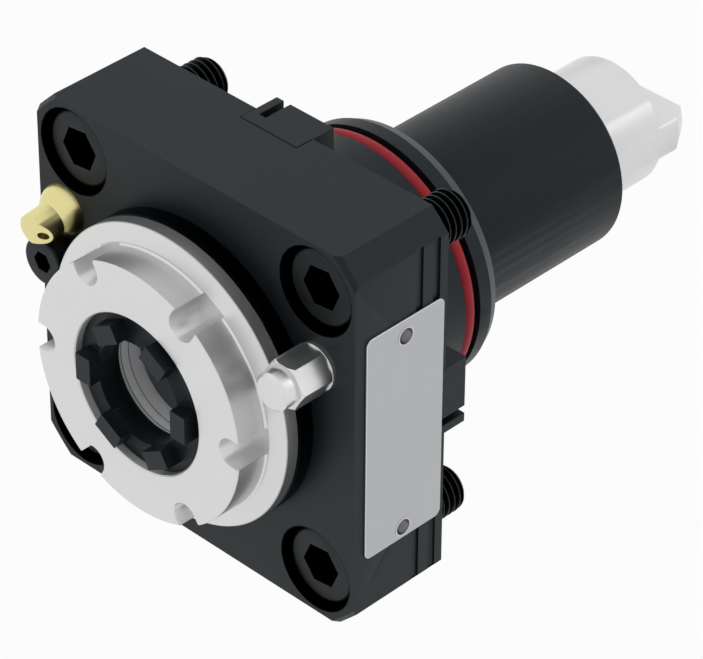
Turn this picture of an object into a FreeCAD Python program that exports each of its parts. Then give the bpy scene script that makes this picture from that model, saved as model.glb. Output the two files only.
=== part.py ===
import FreeCAD, Part
import math
import os
import Sketcher

# Axial driven tool holder: a square flange block that bolts to a turret face, with a driven
# spindle on ball and needle bearings, a slotted clamping nut and a swivelling coolant nozzle.
# Millimetres and degrees. The spindle axis is Y: the tool side is -Y, the drive side +Y, Z is up,
# and the origin lies on the spindle axis in the block's rear face, which seats on the turret.

doc = FreeCAD.newDocument("axial_driven_tool_holder")
sheet = doc.addObject("Spreadsheet::Sheet", "Sizes")

SIZES = (
    # Flange block and boss
    ("block_side", 84.0, "flange block, flat to flat"),
    ("block_depth", 24.0, "flange block, front face to rear face"),
    ("corner_cut", 4.2, "cut across each long corner of the block"),
    ("corner_turn", 0.9, "how far the turned front edge cuts into the corners"),
    ("boss_radius", 27.5, "pilot boss that centres the holder in the turret"),
    ("boss_length", 30.5, "rear face to the end of the boss"),
    ("boss_chamfer", 1.0, "depth of the lead-in at the end of the boss"),
    ("boss_lead", 2.2, "length of that lead-in"),
    ("seal_groove_start", 21.1, "rear face to the near wall of the seal groove"),
    ("seal_groove_width", 4.1, "seal groove along the boss"),
    ("seal_groove_depth", 3.1, "depth of the seal groove"),
    ("seal_section", 3.2, "thickness of the flange seal ring"),
    ("side_slot_width", 1.8, "shallow upright slots in the block's sides"),
    ("side_slot_depth", 0.4, "depth of the side slots"),
    ("side_slot_height", 76.0, "length of the side slots"),
    ("side_slot_near", 2.0, "rear face to the first side slot"),
    ("side_slot_far", 6.5, "rear face to the second side slot"),
    ("seat_gap", 0.02, "radial gap of parts that seat in each other"),
    ("run_gap", 0.05, "radial gap of parts that turn in each other"),
    ("free_gap", 0.3, "gap of parts that pass without touching"),
    # Mounting screws, size 10
    ("bolt_spacing", 64.0, "mounting screws, centre to centre, both ways"),
    ("bolt_thread", 10.0, "mounting screw thread"),
    ("bolt_length", 25.0, "mounting screw under its head"),
    ("bolt_waist", 9.6, "mounting screw's plain stretch inside the block"),
    ("bolt_head", 16.0, "mounting screw head"),
    ("bolt_head_height", 10.0, "mounting screw head height"),
    ("bolt_socket", 8.0, "mounting screw key size"),
    ("bolt_recess", 1.5, "head face behind the block's front face"),
    ("bolt_turn", 7.0, "how far the sockets are turned"),
    ("counterbore", 18.0, "counterbore of the mounting screws"),
    ("bolt_hole", 11.0, "clearance hole of the mounting screws"),
    # Shares that hold for every screw, whatever its size
    ("screw_edge", 0.05, "rounding of a screw head, to its diameter"),
    ("screw_point", 0.1, "bevel of a screw's point, to its thread"),
    ("screw_socket", 0.6, "depth of a screw's socket, to its head's height"),
    # Keys
    ("key_width", 15.0, "key across its sides"),
    ("key_depth", 4.3, "key pocket in the rear face"),
    ("key_reach", 5.5, "key in front of the rear face"),
    ("key_gap", 0.5, "boss to a key's inner end"),
    ("key_relief", 0.25, "relief of a key's hidden faces near its outer end"),
    ("key_relief_length", 8.0, "length of that relief along the key"),
    ("slit_width", 1.7, "clamping slit in the key"),
    ("tongue", 1.9, "sprung tongue beside the slit"),
    ("slit_depth", 6.5, "slit from the key's rear end"),
    ("key_screw_thread", 4.0, "screw that holds a key"),
    ("key_screw_inset", 5.0, "key's inner end to its screw"),
    ("key_screw_side", 1.5, "key screw beside the key's middle"),
    ("key_screw_length", 8.0, "key screw under its head"),
    ("key_screw_head", 7.0, "key screw head"),
    ("key_screw_head_height", 4.0, "key screw head height"),
    ("key_screw_socket", 3.0, "key screw key size"),
    ("set_screw_thread", 4.0, "set screw that spreads the tongue"),
    ("set_screw_recess", 0.1, "set screw's end under the tongue's face"),
    ("set_screw_inset", 3.0, "set screw to the key's outer end"),
    ("set_screw_rise", 2.6, "set screw above the rear face"),
    ("set_screw_socket", 2.0, "set screw key size"),
    ("set_screw_socket_depth", 1.6, "depth of the set screw's socket"),
    # Front cover
    ("cover_radius", 31.5, "front cover"),
    ("cover_thickness", 3.7, "front cover in front of the block"),
    ("cover_spigot", 2.5, "cover spigot in the bearing bore"),
    ("cover_chamfer", 0.5, "front cover edge"),
    ("cover_screw_circle", 27.5, "radius of the cover screw circle"),
    ("cover_screw_thread", 4.0, "cover screw"),
    ("cover_screw_head", 7.0, "cover screw head"),
    ("cover_screw_head_height", 2.2, "cover screw head height"),
    ("cover_screw_length", 8.0, "cover screw under its head"),
    ("cover_screw_socket", 2.5, "cover screw key size"),
    ("shaft_seal_radius", 21.5, "shaft seal pocket in the cover"),
    ("shaft_seal_width", 3.5, "shaft seal pocket depth"),
    ("shaft_seal_wall", 0.9, "thickness of the shaft seal's casing"),
    ("shaft_seal_lip", 1.1, "thickness of the shaft seal's lip"),
    ("shaft_seal_slant", 0.4, "slant of the shaft seal's lip"),
    # Bearings and what holds them
    ("front_bearing_bore", 30.0, "front bearings"),
    ("front_bearing_outside", 47.0, "front bearings"),
    ("front_bearing_width", 9.0, "each front bearing"),
    ("front_ball", 5.5, "balls of the front bearings"),
    ("rear_bearing_outside", 42.0, "rear bearing"),
    ("rear_bearing_width", 7.0, "rear bearing"),
    ("rear_ball", 3.5, "balls of the rear bearing"),
    ("rear_bearing_start", 16.0, "rear face to the rear bearing"),
    ("ball_gap", 0.1, "gap of balls and rollers in their races"),
    ("race_depth", 0.22, "depth of a raceway as a share of the ball"),
    ("cage_wall", 1.6, "radial thickness of the ball cages"),
    ("cage_margin", 0.7, "cage edge inside the bearing face"),
    ("passage_radius", 18.5, "bore between the bearing seats"),
    ("spacer_radius", 17.3, "spacer between the bearings"),
    ("lock_washer_thickness", 1.0, "lock washer"),
    ("lock_nut_width", 4.5, "lock nut"),
    ("lock_nut_radius", 18.4, "lock nut"),
    ("lock_nut_slot", 5.0, "width of the lock nut's slots"),
    ("lock_nut_slot_depth", 1.6, "depth of the lock nut's slots"),
    # Shank sleeve and needle bearing
    ("sleeve_radius", 20.0, "shank sleeve"),
    ("sleeve_end", 75.6, "rear face to the sleeve's end"),
    ("sleeve_chamfer", 1.0, "edge of the sleeve's end"),
    ("sleeve_bore", 17.5, "radius of the sleeve's bore"),
    ("sleeve_lip", 2.0, "inward lip at the sleeve's end"),
    ("sleeve_mouth", 19.0, "radius of the sleeve's bore over the lock nut"),
    ("needle_margin", 2.0, "ends of the needle rollers to the shell's ends"),
    ("needle_diameter", 2.5, "needle rollers"),
    ("needle_shell_width", 20.0, "needle bearing shell"),
    ("needle_shell_lip", 0.8, "needle bearing shell's rims"),
    ("needle_cage_wall", 1.2, "radial thickness of the needle cage"),
    ("needle_cage_rim", 1.0, "width of the needle cage's rims"),
    # Spindle
    ("nose_radius", 20.0, "spindle nose under the clamping nut"),
    ("nose_front", 36.0, "rear face to the nose's front end"),
    ("nose_back", 28.2, "rear face to the nose's shoulder"),
    ("collar_radius", 17.5, "spindle collar that the shaft seal runs on"),
    ("shaft_radius", 14.0, "drive shaft"),
    ("shaft_shoulder", 93.2, "rear face to the shoulder of the tang"),
    ("tang_length", 9.4, "drive tang"),
    ("tang_thickness", 8.0, "drive tang across its flats"),
    ("tang_cone", 2.5, "depth of the tang's conical end"),
    ("tang_cone_length", 4.0, "length of the tang's conical end"),
    ("tang_edge", 0.45, "broken edges along the tang's flats"),
    ("socket_angle", 8.0, "half angle of the tool taper"),
    ("socket_mouth", 12.0, "radius of the tool taper's mouth"),
    ("socket_taper", 2.8, "length of the tool taper"),
    ("socket_depth", 5.5, "drive ring's back to the stop ring's face"),
    ("stop_ring_width", 3.0, "stop ring at the bottom of the socket"),
    ("stop_ring_bore", 5.0, "radius of the stop ring's bore"),
    ("stop_ring_edge", 0.3, "edge of the stop ring"),
    ("draw_bore", 6.0, "radius of the bore behind the stop ring"),
    ("draw_bore_end", 40.0, "rear face to the end of that bore"),
    ("drill_point", 59.0, "half angle of the drill point"),
    # Drive ring
    ("ring_radius", 16.6, "drive ring"),
    ("ring_face", 37.3, "rear face to the drive ring's face"),
    ("ring_back", 32.9, "rear face to the drive ring's seat"),
    ("ring_cone", 12.7, "outer radius of the raised cone"),
    ("ring_rise", 1.15, "cone in front of the ring's face"),
    ("ring_bore", 10.9, "radius of the drive ring's bore"),
    ("ring_wide", 11.3, "radius of the wide bore behind"),
    ("ring_undercut", 1.6, "length of the wide bore behind"),
    ("lug_inner", 10.9, "drive lugs, inner face from the axis"),
    ("lug_outer", 14.7, "drive lugs, outer face from the axis"),
    ("lug_width", 6.0, "drive lugs"),
    ("lug_rise", 3.4, "drive lugs in front of the ring's face"),
    # Clamping nut
    ("nut_front", 39.1, "rear face to the nut's front face"),
    ("nut_disc_radius", 27.65, "front disc of the nut"),
    ("nut_disc_thickness", 2.5, "front disc of the nut"),
    ("nut_disc_chamfer", 0.4, "edge of the front disc"),
    ("nut_neck_radius", 26.4, "neck behind the disc"),
    ("nut_neck_round", 1.2, "rounding of the neck into disc and flange"),
    ("nut_flange_front", 32.6, "rear face to the nut's flange"),
    ("nut_flange_radius", 31.48, "flange of the nut"),
    ("nut_flange_chamfer", 1.97, "front edge of the flange"),
    ("nut_back", 28.5, "rear face to the nut's rear end"),
    ("nut_mouth", 16.7, "bore of the nut's front wall"),
    ("nut_slot_width", 6.0, "spanner slots"),
    ("nut_slot_centre", 25.3, "centre of the slots' round ends"),
    ("slip_ring_radius", 20.5, "slip ring inside the nut"),
    ("slip_ring_gap", 0.05, "slip ring to the walls beside it"),
    # Name plate
    ("plate_length", 50.3, "plate, upright"),
    ("plate_width", 20.2, "plate, front to rear"),
    ("plate_thickness", 0.4, "plate"),
    ("plate_corner", 1.5, "plate corners"),
    ("plate_rear", 1.1, "rear face to the plate"),
    ("plate_low", -25.7, "plate's lower edge above the axis"),
    ("rivet_spacing", 44.1, "plate rivets"),
    ("rivet_low", -23.2, "lower rivet above the axis"),
    ("rivet_rim", 2.05, "radius of the rivets' rims on the plate"),
    ("rivet_rise", 0.08, "thickness of the rivets' rims"),
    ("rivet_radius", 1.85, "radius of the rivet heads, sunk in the block"),
    ("rivet_head", 1.8, "plate's face to the foot of a rivet head"),
    ("rivet_dish", 1.65, "radius of the round hollow in a rivet head"),
    ("rivet_dish_depth", 1.3, "depth of that hollow"),
    ("rivet_shank", 1.0, "radius of the rivet shanks"),
    ("rivet_length", 5.0, "plate's face to the end of a rivet"),
    # Coolant nozzle
    ("nozzle_side", -35.4, "nozzle ball beside the axis"),
    ("nozzle_height", 17.35, "nozzle ball above the axis"),
    ("nozzle_ball", 5.1, "radius of the nozzle ball"),
    ("nozzle_set_back", 1.1, "ball centre behind the front face"),
    ("nozzle_tilt", 8.0, "downward tilt of the nozzle"),
    ("stub_radius", 3.5, "nozzle stub"),
    ("stub_length", 9.4, "ball centre to the stub's end"),
    ("stub_cut_angle", 35.0, "slant of the outlet face"),
    ("stub_cut_start", 0.3, "slant's edge on the stub's end, beside the stub's axis"),
    ("stub_cut_turn", 26.0, "direction of the outlet round the stub"),
    ("outlet_radius", 1.15, "coolant outlet"),
    ("outlet_side", 1.95, "coolant outlet beside the stub's axis"),
    ("stub_edge", 0.28, "edge of the stub's end"),
    ("nozzle_bore_end", 5.2, "ball centre to the end of the nozzle's bore"),
    ("coolant_bore", 2.0, "radius of the coolant channel"),
    ("port_bore", 2.5, "radius of the coolant port in the rear face"),
    ("port_depth", 8.0, "depth of the coolant port"),
    ("port_ring_section", 1.5, "seal ring of the coolant port"),
    ("port_ring_radius", 4.4, "middle of the port's seal ring"),
    ("clamp_screw_side", -36.6, "nozzle clamp screw beside the axis"),
    ("clamp_screw_height", 6.95, "nozzle clamp screw above the axis"),
    ("clamp_screw_thread", 6.0, "nozzle clamp screw"),
    ("clamp_screw_head", 10.0, "nozzle clamp screw head"),
    ("clamp_screw_head_height", 4.0, "nozzle clamp screw head height"),
    ("clamp_screw_socket", 4.0, "nozzle clamp screw key size"),
    ("clamp_screw_length", 12.0, "nozzle clamp screw under its head"),
    ("clamp_screw_lift", 1.0, "head's underside in front of the block"),
    # Hexagon plug
    ("plug_gap", 0.1, "front cover to the plug's collar"),
    ("plug_turn", 26.2, "direction of the plug, upwards from the right"),
    ("plug_collar", 4.85, "radius of the plug's collar"),
    ("plug_collar_length", 1.0, "collar on the front face"),
    ("plug_hexagon", 9.0, "plug across its flats"),
    ("plug_hexagon_length", 8.0, "hexagon"),
    ("plug_bevel", 0.6, "turned ends of the hexagon"),
    ("plug_nose", 3.9, "radius of the plug's nose"),
    ("plug_nose_length", 3.3, "nose in front of the hexagon"),
    ("plug_thread", 8.0, "threaded end in the block"),
    ("plug_thread_length", 8.0, "threaded end in the block"),
)
BALLS = 16
NEEDLES = 18
LUGS = 6
NUT_SLOTS = 6


class Size:
    """A value of the sheet, or a sum worked out from some, with the formula that binds it."""

    def __init__(self, value, formula):
        self.value = value
        self.formula = formula

    def joined(self, other, sign, value):
        return Size(value, "(%s %s %s)" % (self.formula, sign, formula_of(other)))

    def __add__(self, other):
        return self.joined(other, "+", self.value + value_of(other))

    def __sub__(self, other):
        return self.joined(other, "-", self.value - value_of(other))

    def __mul__(self, other):
        return self.joined(other, "*", self.value * value_of(other))

    def __truediv__(self, other):
        return self.joined(other, "/", self.value / value_of(other))

    def __radd__(self, other):
        return Size(other, repr(other)) + self

    def __rsub__(self, other):
        return Size(other, repr(other)) - self

    def __rmul__(self, other):
        return Size(other, repr(other)) * self

    def __neg__(self):
        return Size(-self.value, "(0 - %s)" % self.formula)


def value_of(size):
    return size.value if isinstance(size, Size) else size


def formula_of(size):
    return size.formula if isinstance(size, Size) else repr(size)


def worked(name, function, size):
    """A function of a size, such as its root, in numbers and as a formula."""
    return Size(function(value_of(size)), "%s(%s)" % (name, formula_of(size)))


def root(size):
    return worked("sqrt", math.sqrt, size)


def cosine(angle):
    return worked("cos", lambda degrees: math.cos(math.radians(degrees)), angle)


def sine(angle):
    return worked("sin", lambda degrees: math.sin(math.radians(degrees)), angle)


def tangent(angle):
    return worked("tan", lambda degrees: math.tan(math.radians(degrees)), angle)


class Sheet:
    """The sheet's sizes by name."""


S = Sheet()
for row, (alias, number, meaning) in enumerate(SIZES, start=1):
    sheet.set("A%d" % row, meaning)
    sheet.set("B%d" % row, "%.12g" % number)
    sheet.setAlias("B%d" % row, alias)
    setattr(S, alias, Size(number, "Sizes." + alias))
doc.recompute()

cuts = []
pieces = {}


def bind(thing, name, size):
    """Sets a property from a size: by its formula, or as a bare number."""
    if isinstance(size, Size):
        thing.setExpression(name, size.formula)
    else:
        thing.setExpression(name, repr(float(size)))


def new_body(label):
    body = doc.addObject("PartDesign::Body", label)
    body.Label = label
    body.AllowCompound = True
    return body


def origin_item(body, role):
    return [item for item in body.Origin.OriginFeatures if item.Role == role][0]


def new_sketch(body, role, offset=0.0):
    """A sketch on one of the body's origin planes, moved along that plane's normal."""
    sketch = body.newObject("Sketcher::SketchObject", body.Name + "_sketch")
    sketch.AttachmentSupport = [(origin_item(body, role), "")]
    sketch.MapMode = "FlatFace"
    bind(sketch, "AttachmentOffset.Base.z", offset)
    return sketch


def cross_section(body, y):
    """A sketch across the spindle axis at y: its x is X, its y is Z, its normal -Y."""
    return new_sketch(body, "XZ_Plane", -y)


def fix_point(sketch, geometry, position, point):
    """Ties a point of the sketch to its two coordinates."""
    for kind, name, size in (("DistanceX", "x", point[0]), ("DistanceY", "y", point[1])):
        number = sketch.addConstraint(
            Sketcher.Constraint(kind, -1, 1, geometry, position, value_of(size)))
        bind(sketch, "Constraints[%d]" % number, size)


def arc_between(start, end, radius, left):
    """An arc from start to end whose centre lies left or right of the way from one to the other."""
    x0, y0 = value_of(start[0]), value_of(start[1])
    x1, y1 = value_of(end[0]), value_of(end[1])
    reach = math.hypot(x1 - x0, y1 - y0)
    height = math.sqrt(max(value_of(radius) ** 2 - reach * reach / 4.0, 0.0))
    side = 1.0 if left else -1.0
    centre_x = (x0 + x1) / 2.0 - side * height * (y1 - y0) / reach
    centre_y = (y0 + y1) / 2.0 + side * height * (x1 - x0) / reach
    first, last = ((x0, y0), (x1, y1)) if left else ((x1, y1), (x0, y0))
    begin = math.atan2(first[1] - centre_y, first[0] - centre_x)
    finish = math.atan2(last[1] - centre_y, last[0] - centre_x)
    circle = Part.Circle(FreeCAD.Vector(centre_x, centre_y, 0), FreeCAD.Vector(0, 0, 1),
                         value_of(radius))
    return Part.ArcOfCircle(circle, begin, finish)


def outline(sketch, points):
    """A closed outline. Each point is (x, y), or (x, y, radius, left) where an arc follows it."""
    sides = []
    for index, point in enumerate(points):
        following = points[(index + 1) % len(points)]
        if len(point) == 4:
            radius, left = point[2], point[3]
            side = sketch.addGeometry(arc_between(point, following, radius, left), False)
            number = sketch.addConstraint(Sketcher.Constraint("Radius", side, value_of(radius)))
            bind(sketch, "Constraints[%d]" % number, radius)
            sides.append((side, 1, 2) if left else (side, 2, 1))
        else:
            start = FreeCAD.Vector(value_of(point[0]), value_of(point[1]), 0)
            end = FreeCAD.Vector(value_of(following[0]), value_of(following[1]), 0)
            sides.append((sketch.addGeometry(Part.LineSegment(start, end), False), 1, 2))
    for index, point in enumerate(points):
        side, here, _ = sides[index]
        before, _, there = sides[index - 1]
        sketch.addConstraint(Sketcher.Constraint("Coincident", before, there, side, here))
        fix_point(sketch, side, here, point)


def rectangle(sketch, x0, y0, x1, y1):
    outline(sketch, [(x0, y0), (x1, y0), (x1, y1), (x0, y1)])


def circle(sketch, x, y, radius):
    shape = Part.Circle(FreeCAD.Vector(value_of(x), value_of(y), 0), FreeCAD.Vector(0, 0, 1),
                        value_of(radius))
    number = sketch.addGeometry(shape, False)
    constraint = sketch.addConstraint(Sketcher.Constraint("Radius", number, value_of(radius)))
    bind(sketch, "Constraints[%d]" % constraint, radius)
    fix_point(sketch, number, 3, (x, y))


def hexagon(sketch, x, y, across_flats, turn):
    """A hexagon with a corner at the angle turn."""
    corner = across_flats / math.sqrt(3.0)
    angles = [turn + 60.0 * step for step in range(6)]
    outline(sketch, [(x + corner * cosine(a), y + corner * sine(a)) for a in angles])


def pad(body, sketch, length, backwards=False):
    """Grows the sketch along its normal, or backwards against it."""
    feature = body.newObject("PartDesign::Pad", body.Name + "_pad")
    feature.Profile = sketch
    feature.Reversed = backwards
    bind(feature, "Length", length)
    return feature


def cut_feature(body, kind, sketch):
    before = body.Tip
    feature = body.newObject("PartDesign::" + kind, body.Name + "_" + kind.lower())
    feature.Profile = sketch
    cuts.append((feature, before))
    return feature


def pocket(body, sketch, length, along_normal=False):
    """Cuts against the sketch's normal, or along it."""
    feature = cut_feature(body, "Pocket", sketch)
    feature.Reversed = along_normal
    bind(feature, "Length", length)
    return feature


def groove(body, points):
    """Cuts a ring about the Y axis from points given as radius and y."""
    sketch = new_sketch(body, "XY_Plane")
    outline(sketch, points)
    feature = cut_feature(body, "Groove", sketch)
    feature.ReferenceAxis = (sketch, ["V_Axis"])
    feature.Angle = 360.0
    return feature


def revolve(body, points):
    """Turns points given as radius and y about the Y axis."""
    sketch = new_sketch(body, "XY_Plane")
    outline(sketch, points)
    feature = body.newObject("PartDesign::Revolution", body.Name + "_turned")
    feature.Profile = sketch
    feature.ReferenceAxis = (sketch, ["V_Axis"])
    feature.Angle = 360.0
    return feature


def around_axis(body, features, count):
    """Repeats features evenly round the Y axis."""
    pattern = body.newObject("PartDesign::PolarPattern", body.Name + "_round")
    pattern.Originals = features
    pattern.Axis = (origin_item(body, "Y_Axis"), [""])
    pattern.Angle = 360.0
    pattern.Occurrences = count
    body.Tip = pattern
    return pattern


def turned(label, points):
    body = new_body(label)
    revolve(body, points)
    return body


def place(thing, x, y, z, turn=None):
    """Moves a thing made at the origin, after a turn about Y in degrees."""
    if turn is not None:
        thing.Placement = FreeCAD.Placement(
            FreeCAD.Vector(0, 0, 0), FreeCAD.Rotation(FreeCAD.Vector(0, 1, 0), turn))
    bind(thing, "Placement.Base.x", x)
    bind(thing, "Placement.Base.y", y)
    bind(thing, "Placement.Base.z", z)


def keep(thing, label=None):
    """Marks a thing as a finished sub-part."""
    if label:
        thing.Label = label
    pieces[thing.Label] = thing
    return thing


def group(label, things):
    """Equal fasteners as one sub-part of separate solids."""
    compound = doc.addObject("Part::Compound", label)
    compound.Links = things
    return keep(compound, label)


def square_places(spacing):
    """The corners of a square about the axis, as x and z."""
    half = spacing / 2.0
    return [(half, half), (-half, half), (-half, -half), (half, -half)]


def cap_screw(label, thread, length, head, head_height, socket, turn, waist=None):
    """A socket head screw with its head's face at y 0 and its shank towards +Y.

    A waist is a plain stretch under the head, given as its diameter and length.
    """
    body = new_body(label)
    shank = thread / 2.0 - S.seat_gap
    edge = head * S.screw_edge
    point = thread * S.screw_point
    neck = [(shank, head_height)]
    if waist:
        width, reach = waist
        neck = [(width / 2.0, head_height), (width / 2.0, head_height + reach),
                (shank, head_height + reach)]
    crown = [
        (0.0, 0.0), (head / 2.0 - edge, 0.0, edge, True), (head / 2.0, edge),
        (head / 2.0, head_height)]
    tip = [
        (shank, head_height + length - point), (shank - point, head_height + length),
        (0.0, head_height + length)]
    revolve(body, crown + neck + tip)
    face = cross_section(body, Size(0.0, "0"))
    hexagon(face, 0.0, 0.0, socket, turn)
    pocket(body, face, head_height * S.screw_socket)
    return body


# Flange block with the pilot boss, its bores, pockets and holes
front = -S.block_depth
half_block = S.block_side / 2.0
front_seat = S.front_bearing_outside / 2.0 + S.seat_gap
rear_seat = S.rear_bearing_outside / 2.0 + S.seat_gap
bearings_front = front + S.cover_spigot
bearings_back = bearings_front + S.front_bearing_width * 2.0
groove_floor = S.boss_radius - S.seal_groove_depth
key_foot = S.boss_radius + S.key_gap
key_screw_height = key_foot + S.key_screw_inset
set_screw_height = half_block - S.set_screw_inset
set_screw_length = S.slit_width + S.tongue - S.set_screw_recess
plug_reach = S.cover_radius + S.plug_collar + S.plug_gap
plug_side = plug_reach * cosine(S.plug_turn)
plug_height = plug_reach * sine(S.plug_turn)
stop_face = S.socket_depth - S.ring_back
stop_back = stop_face + S.stop_ring_width
socket_bore = S.socket_mouth - S.socket_taper * tangent(S.socket_angle)


def make_housing():
    body = new_body("housing_body")
    flat = half_block - S.corner_cut
    rear = cross_section(body, 0.0)
    outline(rear, [
        (half_block, -flat), (half_block, flat), (flat, half_block), (-flat, half_block),
        (-half_block, flat), (-half_block, -flat), (-flat, -half_block), (flat, -half_block)])
    pad(body, rear, S.block_depth)
    end = S.boss_length
    revolve(body, [
        (0.0, 0.0), (S.boss_radius, 0.0), (S.boss_radius, end - S.boss_lead),
        (S.boss_radius - S.boss_chamfer, end), (0.0, end)])
    turned_edge = root(half_block * half_block + flat * flat) - S.corner_turn
    beyond = turned_edge + S.corner_cut
    groove(body, [(turned_edge, front), (beyond, front), (beyond, front + S.corner_cut)])
    groove(body, [
        (0.0, front), (front_seat, front), (front_seat, bearings_back),
        (S.passage_radius, bearings_back), (S.passage_radius, S.rear_bearing_start),
        (rear_seat, S.rear_bearing_start), (rear_seat, end), (0.0, end)])
    groove_end = S.seal_groove_start + S.seal_groove_width
    outside = S.boss_radius + S.seal_section
    groove(body, [
        (groove_floor, S.seal_groove_start), (outside, S.seal_groove_start),
        (outside, groove_end), (groove_floor, groove_end)])
    heads = cross_section(body, front)
    holes = cross_section(body, front)
    for x, z in square_places(S.bolt_spacing):
        circle(heads, x, z, S.counterbore / 2.0)
        circle(holes, x, z, S.bolt_hole / 2.0)
    pocket(body, heads, S.bolt_recess + S.bolt_head_height)
    pocket(body, holes, S.block_depth)
    key_floor = cross_section(body, 0.0)
    wide = S.key_width / 2.0 + S.seat_gap
    rectangle(key_floor, -wide, S.boss_radius, wide, half_block + S.corner_cut)
    key_pocket = pocket(body, key_floor, S.key_depth, along_normal=True)
    around_axis(body, [key_pocket], 4)
    key_threads = cross_section(body, -S.key_depth)
    for x, z in key_screw_places():
        circle(key_threads, x, z, S.key_screw_thread / 2.0)
    pocket(body, key_threads, S.key_screw_length, along_normal=True)
    cover_threads = cross_section(body, front)
    for x, z in cover_screw_places():
        circle(cover_threads, x, z, S.cover_screw_thread / 2.0)
    pocket(body, cover_threads, S.cover_screw_length)
    slots = new_sketch(body, "XY_Plane", -S.side_slot_height / 2.0)
    for near in (S.side_slot_near, S.side_slot_far):
        far = near + S.side_slot_width
        inside = half_block - S.side_slot_depth
        outer = half_block + S.side_slot_depth
        rectangle(slots, inside, -far, outer, -near)
        rectangle(slots, -outer, -far, -inside, -near)
    pocket(body, slots, S.side_slot_height, along_normal=True)
    fittings = cross_section(body, front)
    circle(fittings, S.clamp_screw_side, S.clamp_screw_height, S.clamp_screw_thread / 2.0)
    pocket(body, fittings, S.clamp_screw_length)
    plug_hole = cross_section(body, front)
    circle(plug_hole, plug_side, plug_height, S.plug_thread / 2.0)
    pocket(body, plug_hole, S.plug_thread_length + S.free_gap)
    channel = cross_section(body, front)
    circle(channel, S.nozzle_side, S.nozzle_height, S.coolant_bore)
    pocket(body, channel, S.block_depth)
    port_hole = cross_section(body, 0.0)
    circle(port_hole, S.nozzle_side, S.nozzle_height, S.port_bore)
    pocket(body, port_hole, S.port_depth, along_normal=True)
    port = cross_section(body, 0.0)
    ring_half = S.port_ring_section / 2.0
    circle(port, S.nozzle_side, S.nozzle_height, S.port_ring_radius + ring_half + S.run_gap)
    circle(port, S.nozzle_side, S.nozzle_height, S.port_ring_radius - ring_half - S.run_gap)
    pocket(body, port, S.port_ring_section - S.run_gap, along_normal=True)
    rivet_seats = new_sketch(body, "YZ_Plane", half_block)
    rivet_holes = new_sketch(body, "YZ_Plane", half_block)
    for z in rivet_heights():
        circle(rivet_seats, rivet_line(), z, S.rivet_radius + S.seat_gap)
        circle(rivet_holes, rivet_line(), z, S.rivet_shank + S.seat_gap)
    pocket(body, rivet_seats, S.rivet_head - S.plate_thickness)
    pocket(body, rivet_holes, S.rivet_length)
    ball = doc.addObject("Part::Sphere", "nozzle_socket")
    bind(ball, "Radius", S.nozzle_ball + S.ball_gap)
    place(ball, S.nozzle_side, front + S.nozzle_set_back, S.nozzle_height)
    housing = doc.addObject("Part::Cut", "housing")
    housing.Base = body
    housing.Tool = ball
    return keep(housing, "housing")


def key_screw_places():
    """The four key screws as x and z: beside the middle of each key."""
    side, height = S.key_screw_side, key_screw_height
    return [(side, height), (height, side), (side, -height), (-height, side)]


def cover_screw_places():
    half = S.cover_screw_circle * math.sqrt(0.5)
    return [(half, half), (-half, half), (-half, -half), (half, -half)]


def rivet_line():
    return -S.plate_rear - S.plate_width / 2.0


def rivet_heights():
    return [S.rivet_low, S.rivet_low + S.rivet_spacing]


def make_mounting_screws():
    waist = (S.bolt_waist, S.block_depth - S.bolt_recess - S.bolt_head_height)
    screws = []
    for x, z in square_places(S.bolt_spacing):
        screw = cap_screw("mounting_screw", S.bolt_thread, S.bolt_length, S.bolt_head,
                          S.bolt_head_height, S.bolt_socket, S.bolt_turn, waist)
        place(screw, x, front + S.bolt_recess, z)
        screws.append(screw)
    group("mounting_screws", screws)


# Keys that locate the flange in the turret face, each with a tongue that a set screw spreads
def make_keys():
    screws = []
    set_screws = []
    for name, angle, mirrored in (("key_top", 0, False), ("key_right", 90, True),
                                  ("key_bottom", 180, True), ("key_left", 270, False)):
        side = -1.0 if mirrored else 1.0
        body = new_body(name)
        half = S.key_width / 2.0
        base = cross_section(body, -S.key_depth)
        rectangle(base, -half, key_foot, half, half_block)
        pad(body, base, S.key_depth + S.key_reach, backwards=True)
        relieved = half_block - S.key_relief_length
        beyond = half_block + S.key_relief
        bottom = cross_section(body, -S.key_depth)
        rectangle(bottom, -half, relieved, half, beyond)
        pocket(body, bottom, S.key_relief)
        inner = (half - S.key_relief) * side
        outer = (half + S.key_relief) * side
        low, high = (outer, inner) if mirrored else (inner, outer)
        flank = cross_section(body, -S.key_depth)
        rectangle(flank, low, relieved, high, beyond)
        pocket(body, flank, S.key_depth)
        slit_near = (half - S.tongue) * -side
        slit_far = (half - S.tongue - S.slit_width) * -side
        slit = cross_section(body, S.key_reach)
        low, high = (slit_far, slit_near) if mirrored else (slit_near, slit_far)
        rectangle(slit, low, key_foot - S.slit_width, high, half_block + S.slit_width)
        pocket(body, slit, S.slit_depth, along_normal=True)
        screw_x = S.key_screw_side * side
        head = cross_section(body, S.key_reach)
        circle(head, screw_x, key_screw_height, S.key_screw_head / 2.0 + S.free_gap)
        pocket(body, head, S.key_screw_head_height + S.free_gap, along_normal=True)
        hole = cross_section(body, S.key_reach)
        circle(hole, screw_x, key_screw_height, S.key_screw_thread / 2.0 + S.free_gap)
        pocket(body, hole, S.key_reach + S.key_depth, along_normal=True)
        thread = new_sketch(body, "YZ_Plane", slit_near)
        circle(thread, S.set_screw_rise, set_screw_height, S.set_screw_thread / 2.0)
        pocket(body, thread, S.tongue + S.slit_width, along_normal=mirrored)
        place(body, 0.0, 0.0, 0.0, angle)
        keep(body)
        screws.append(make_key_screw(angle, screw_x))
        set_screws.append(make_set_screw(angle, side, slit_far))
    group("key_screws", screws)
    group("key_set_screws", set_screws)


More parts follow.
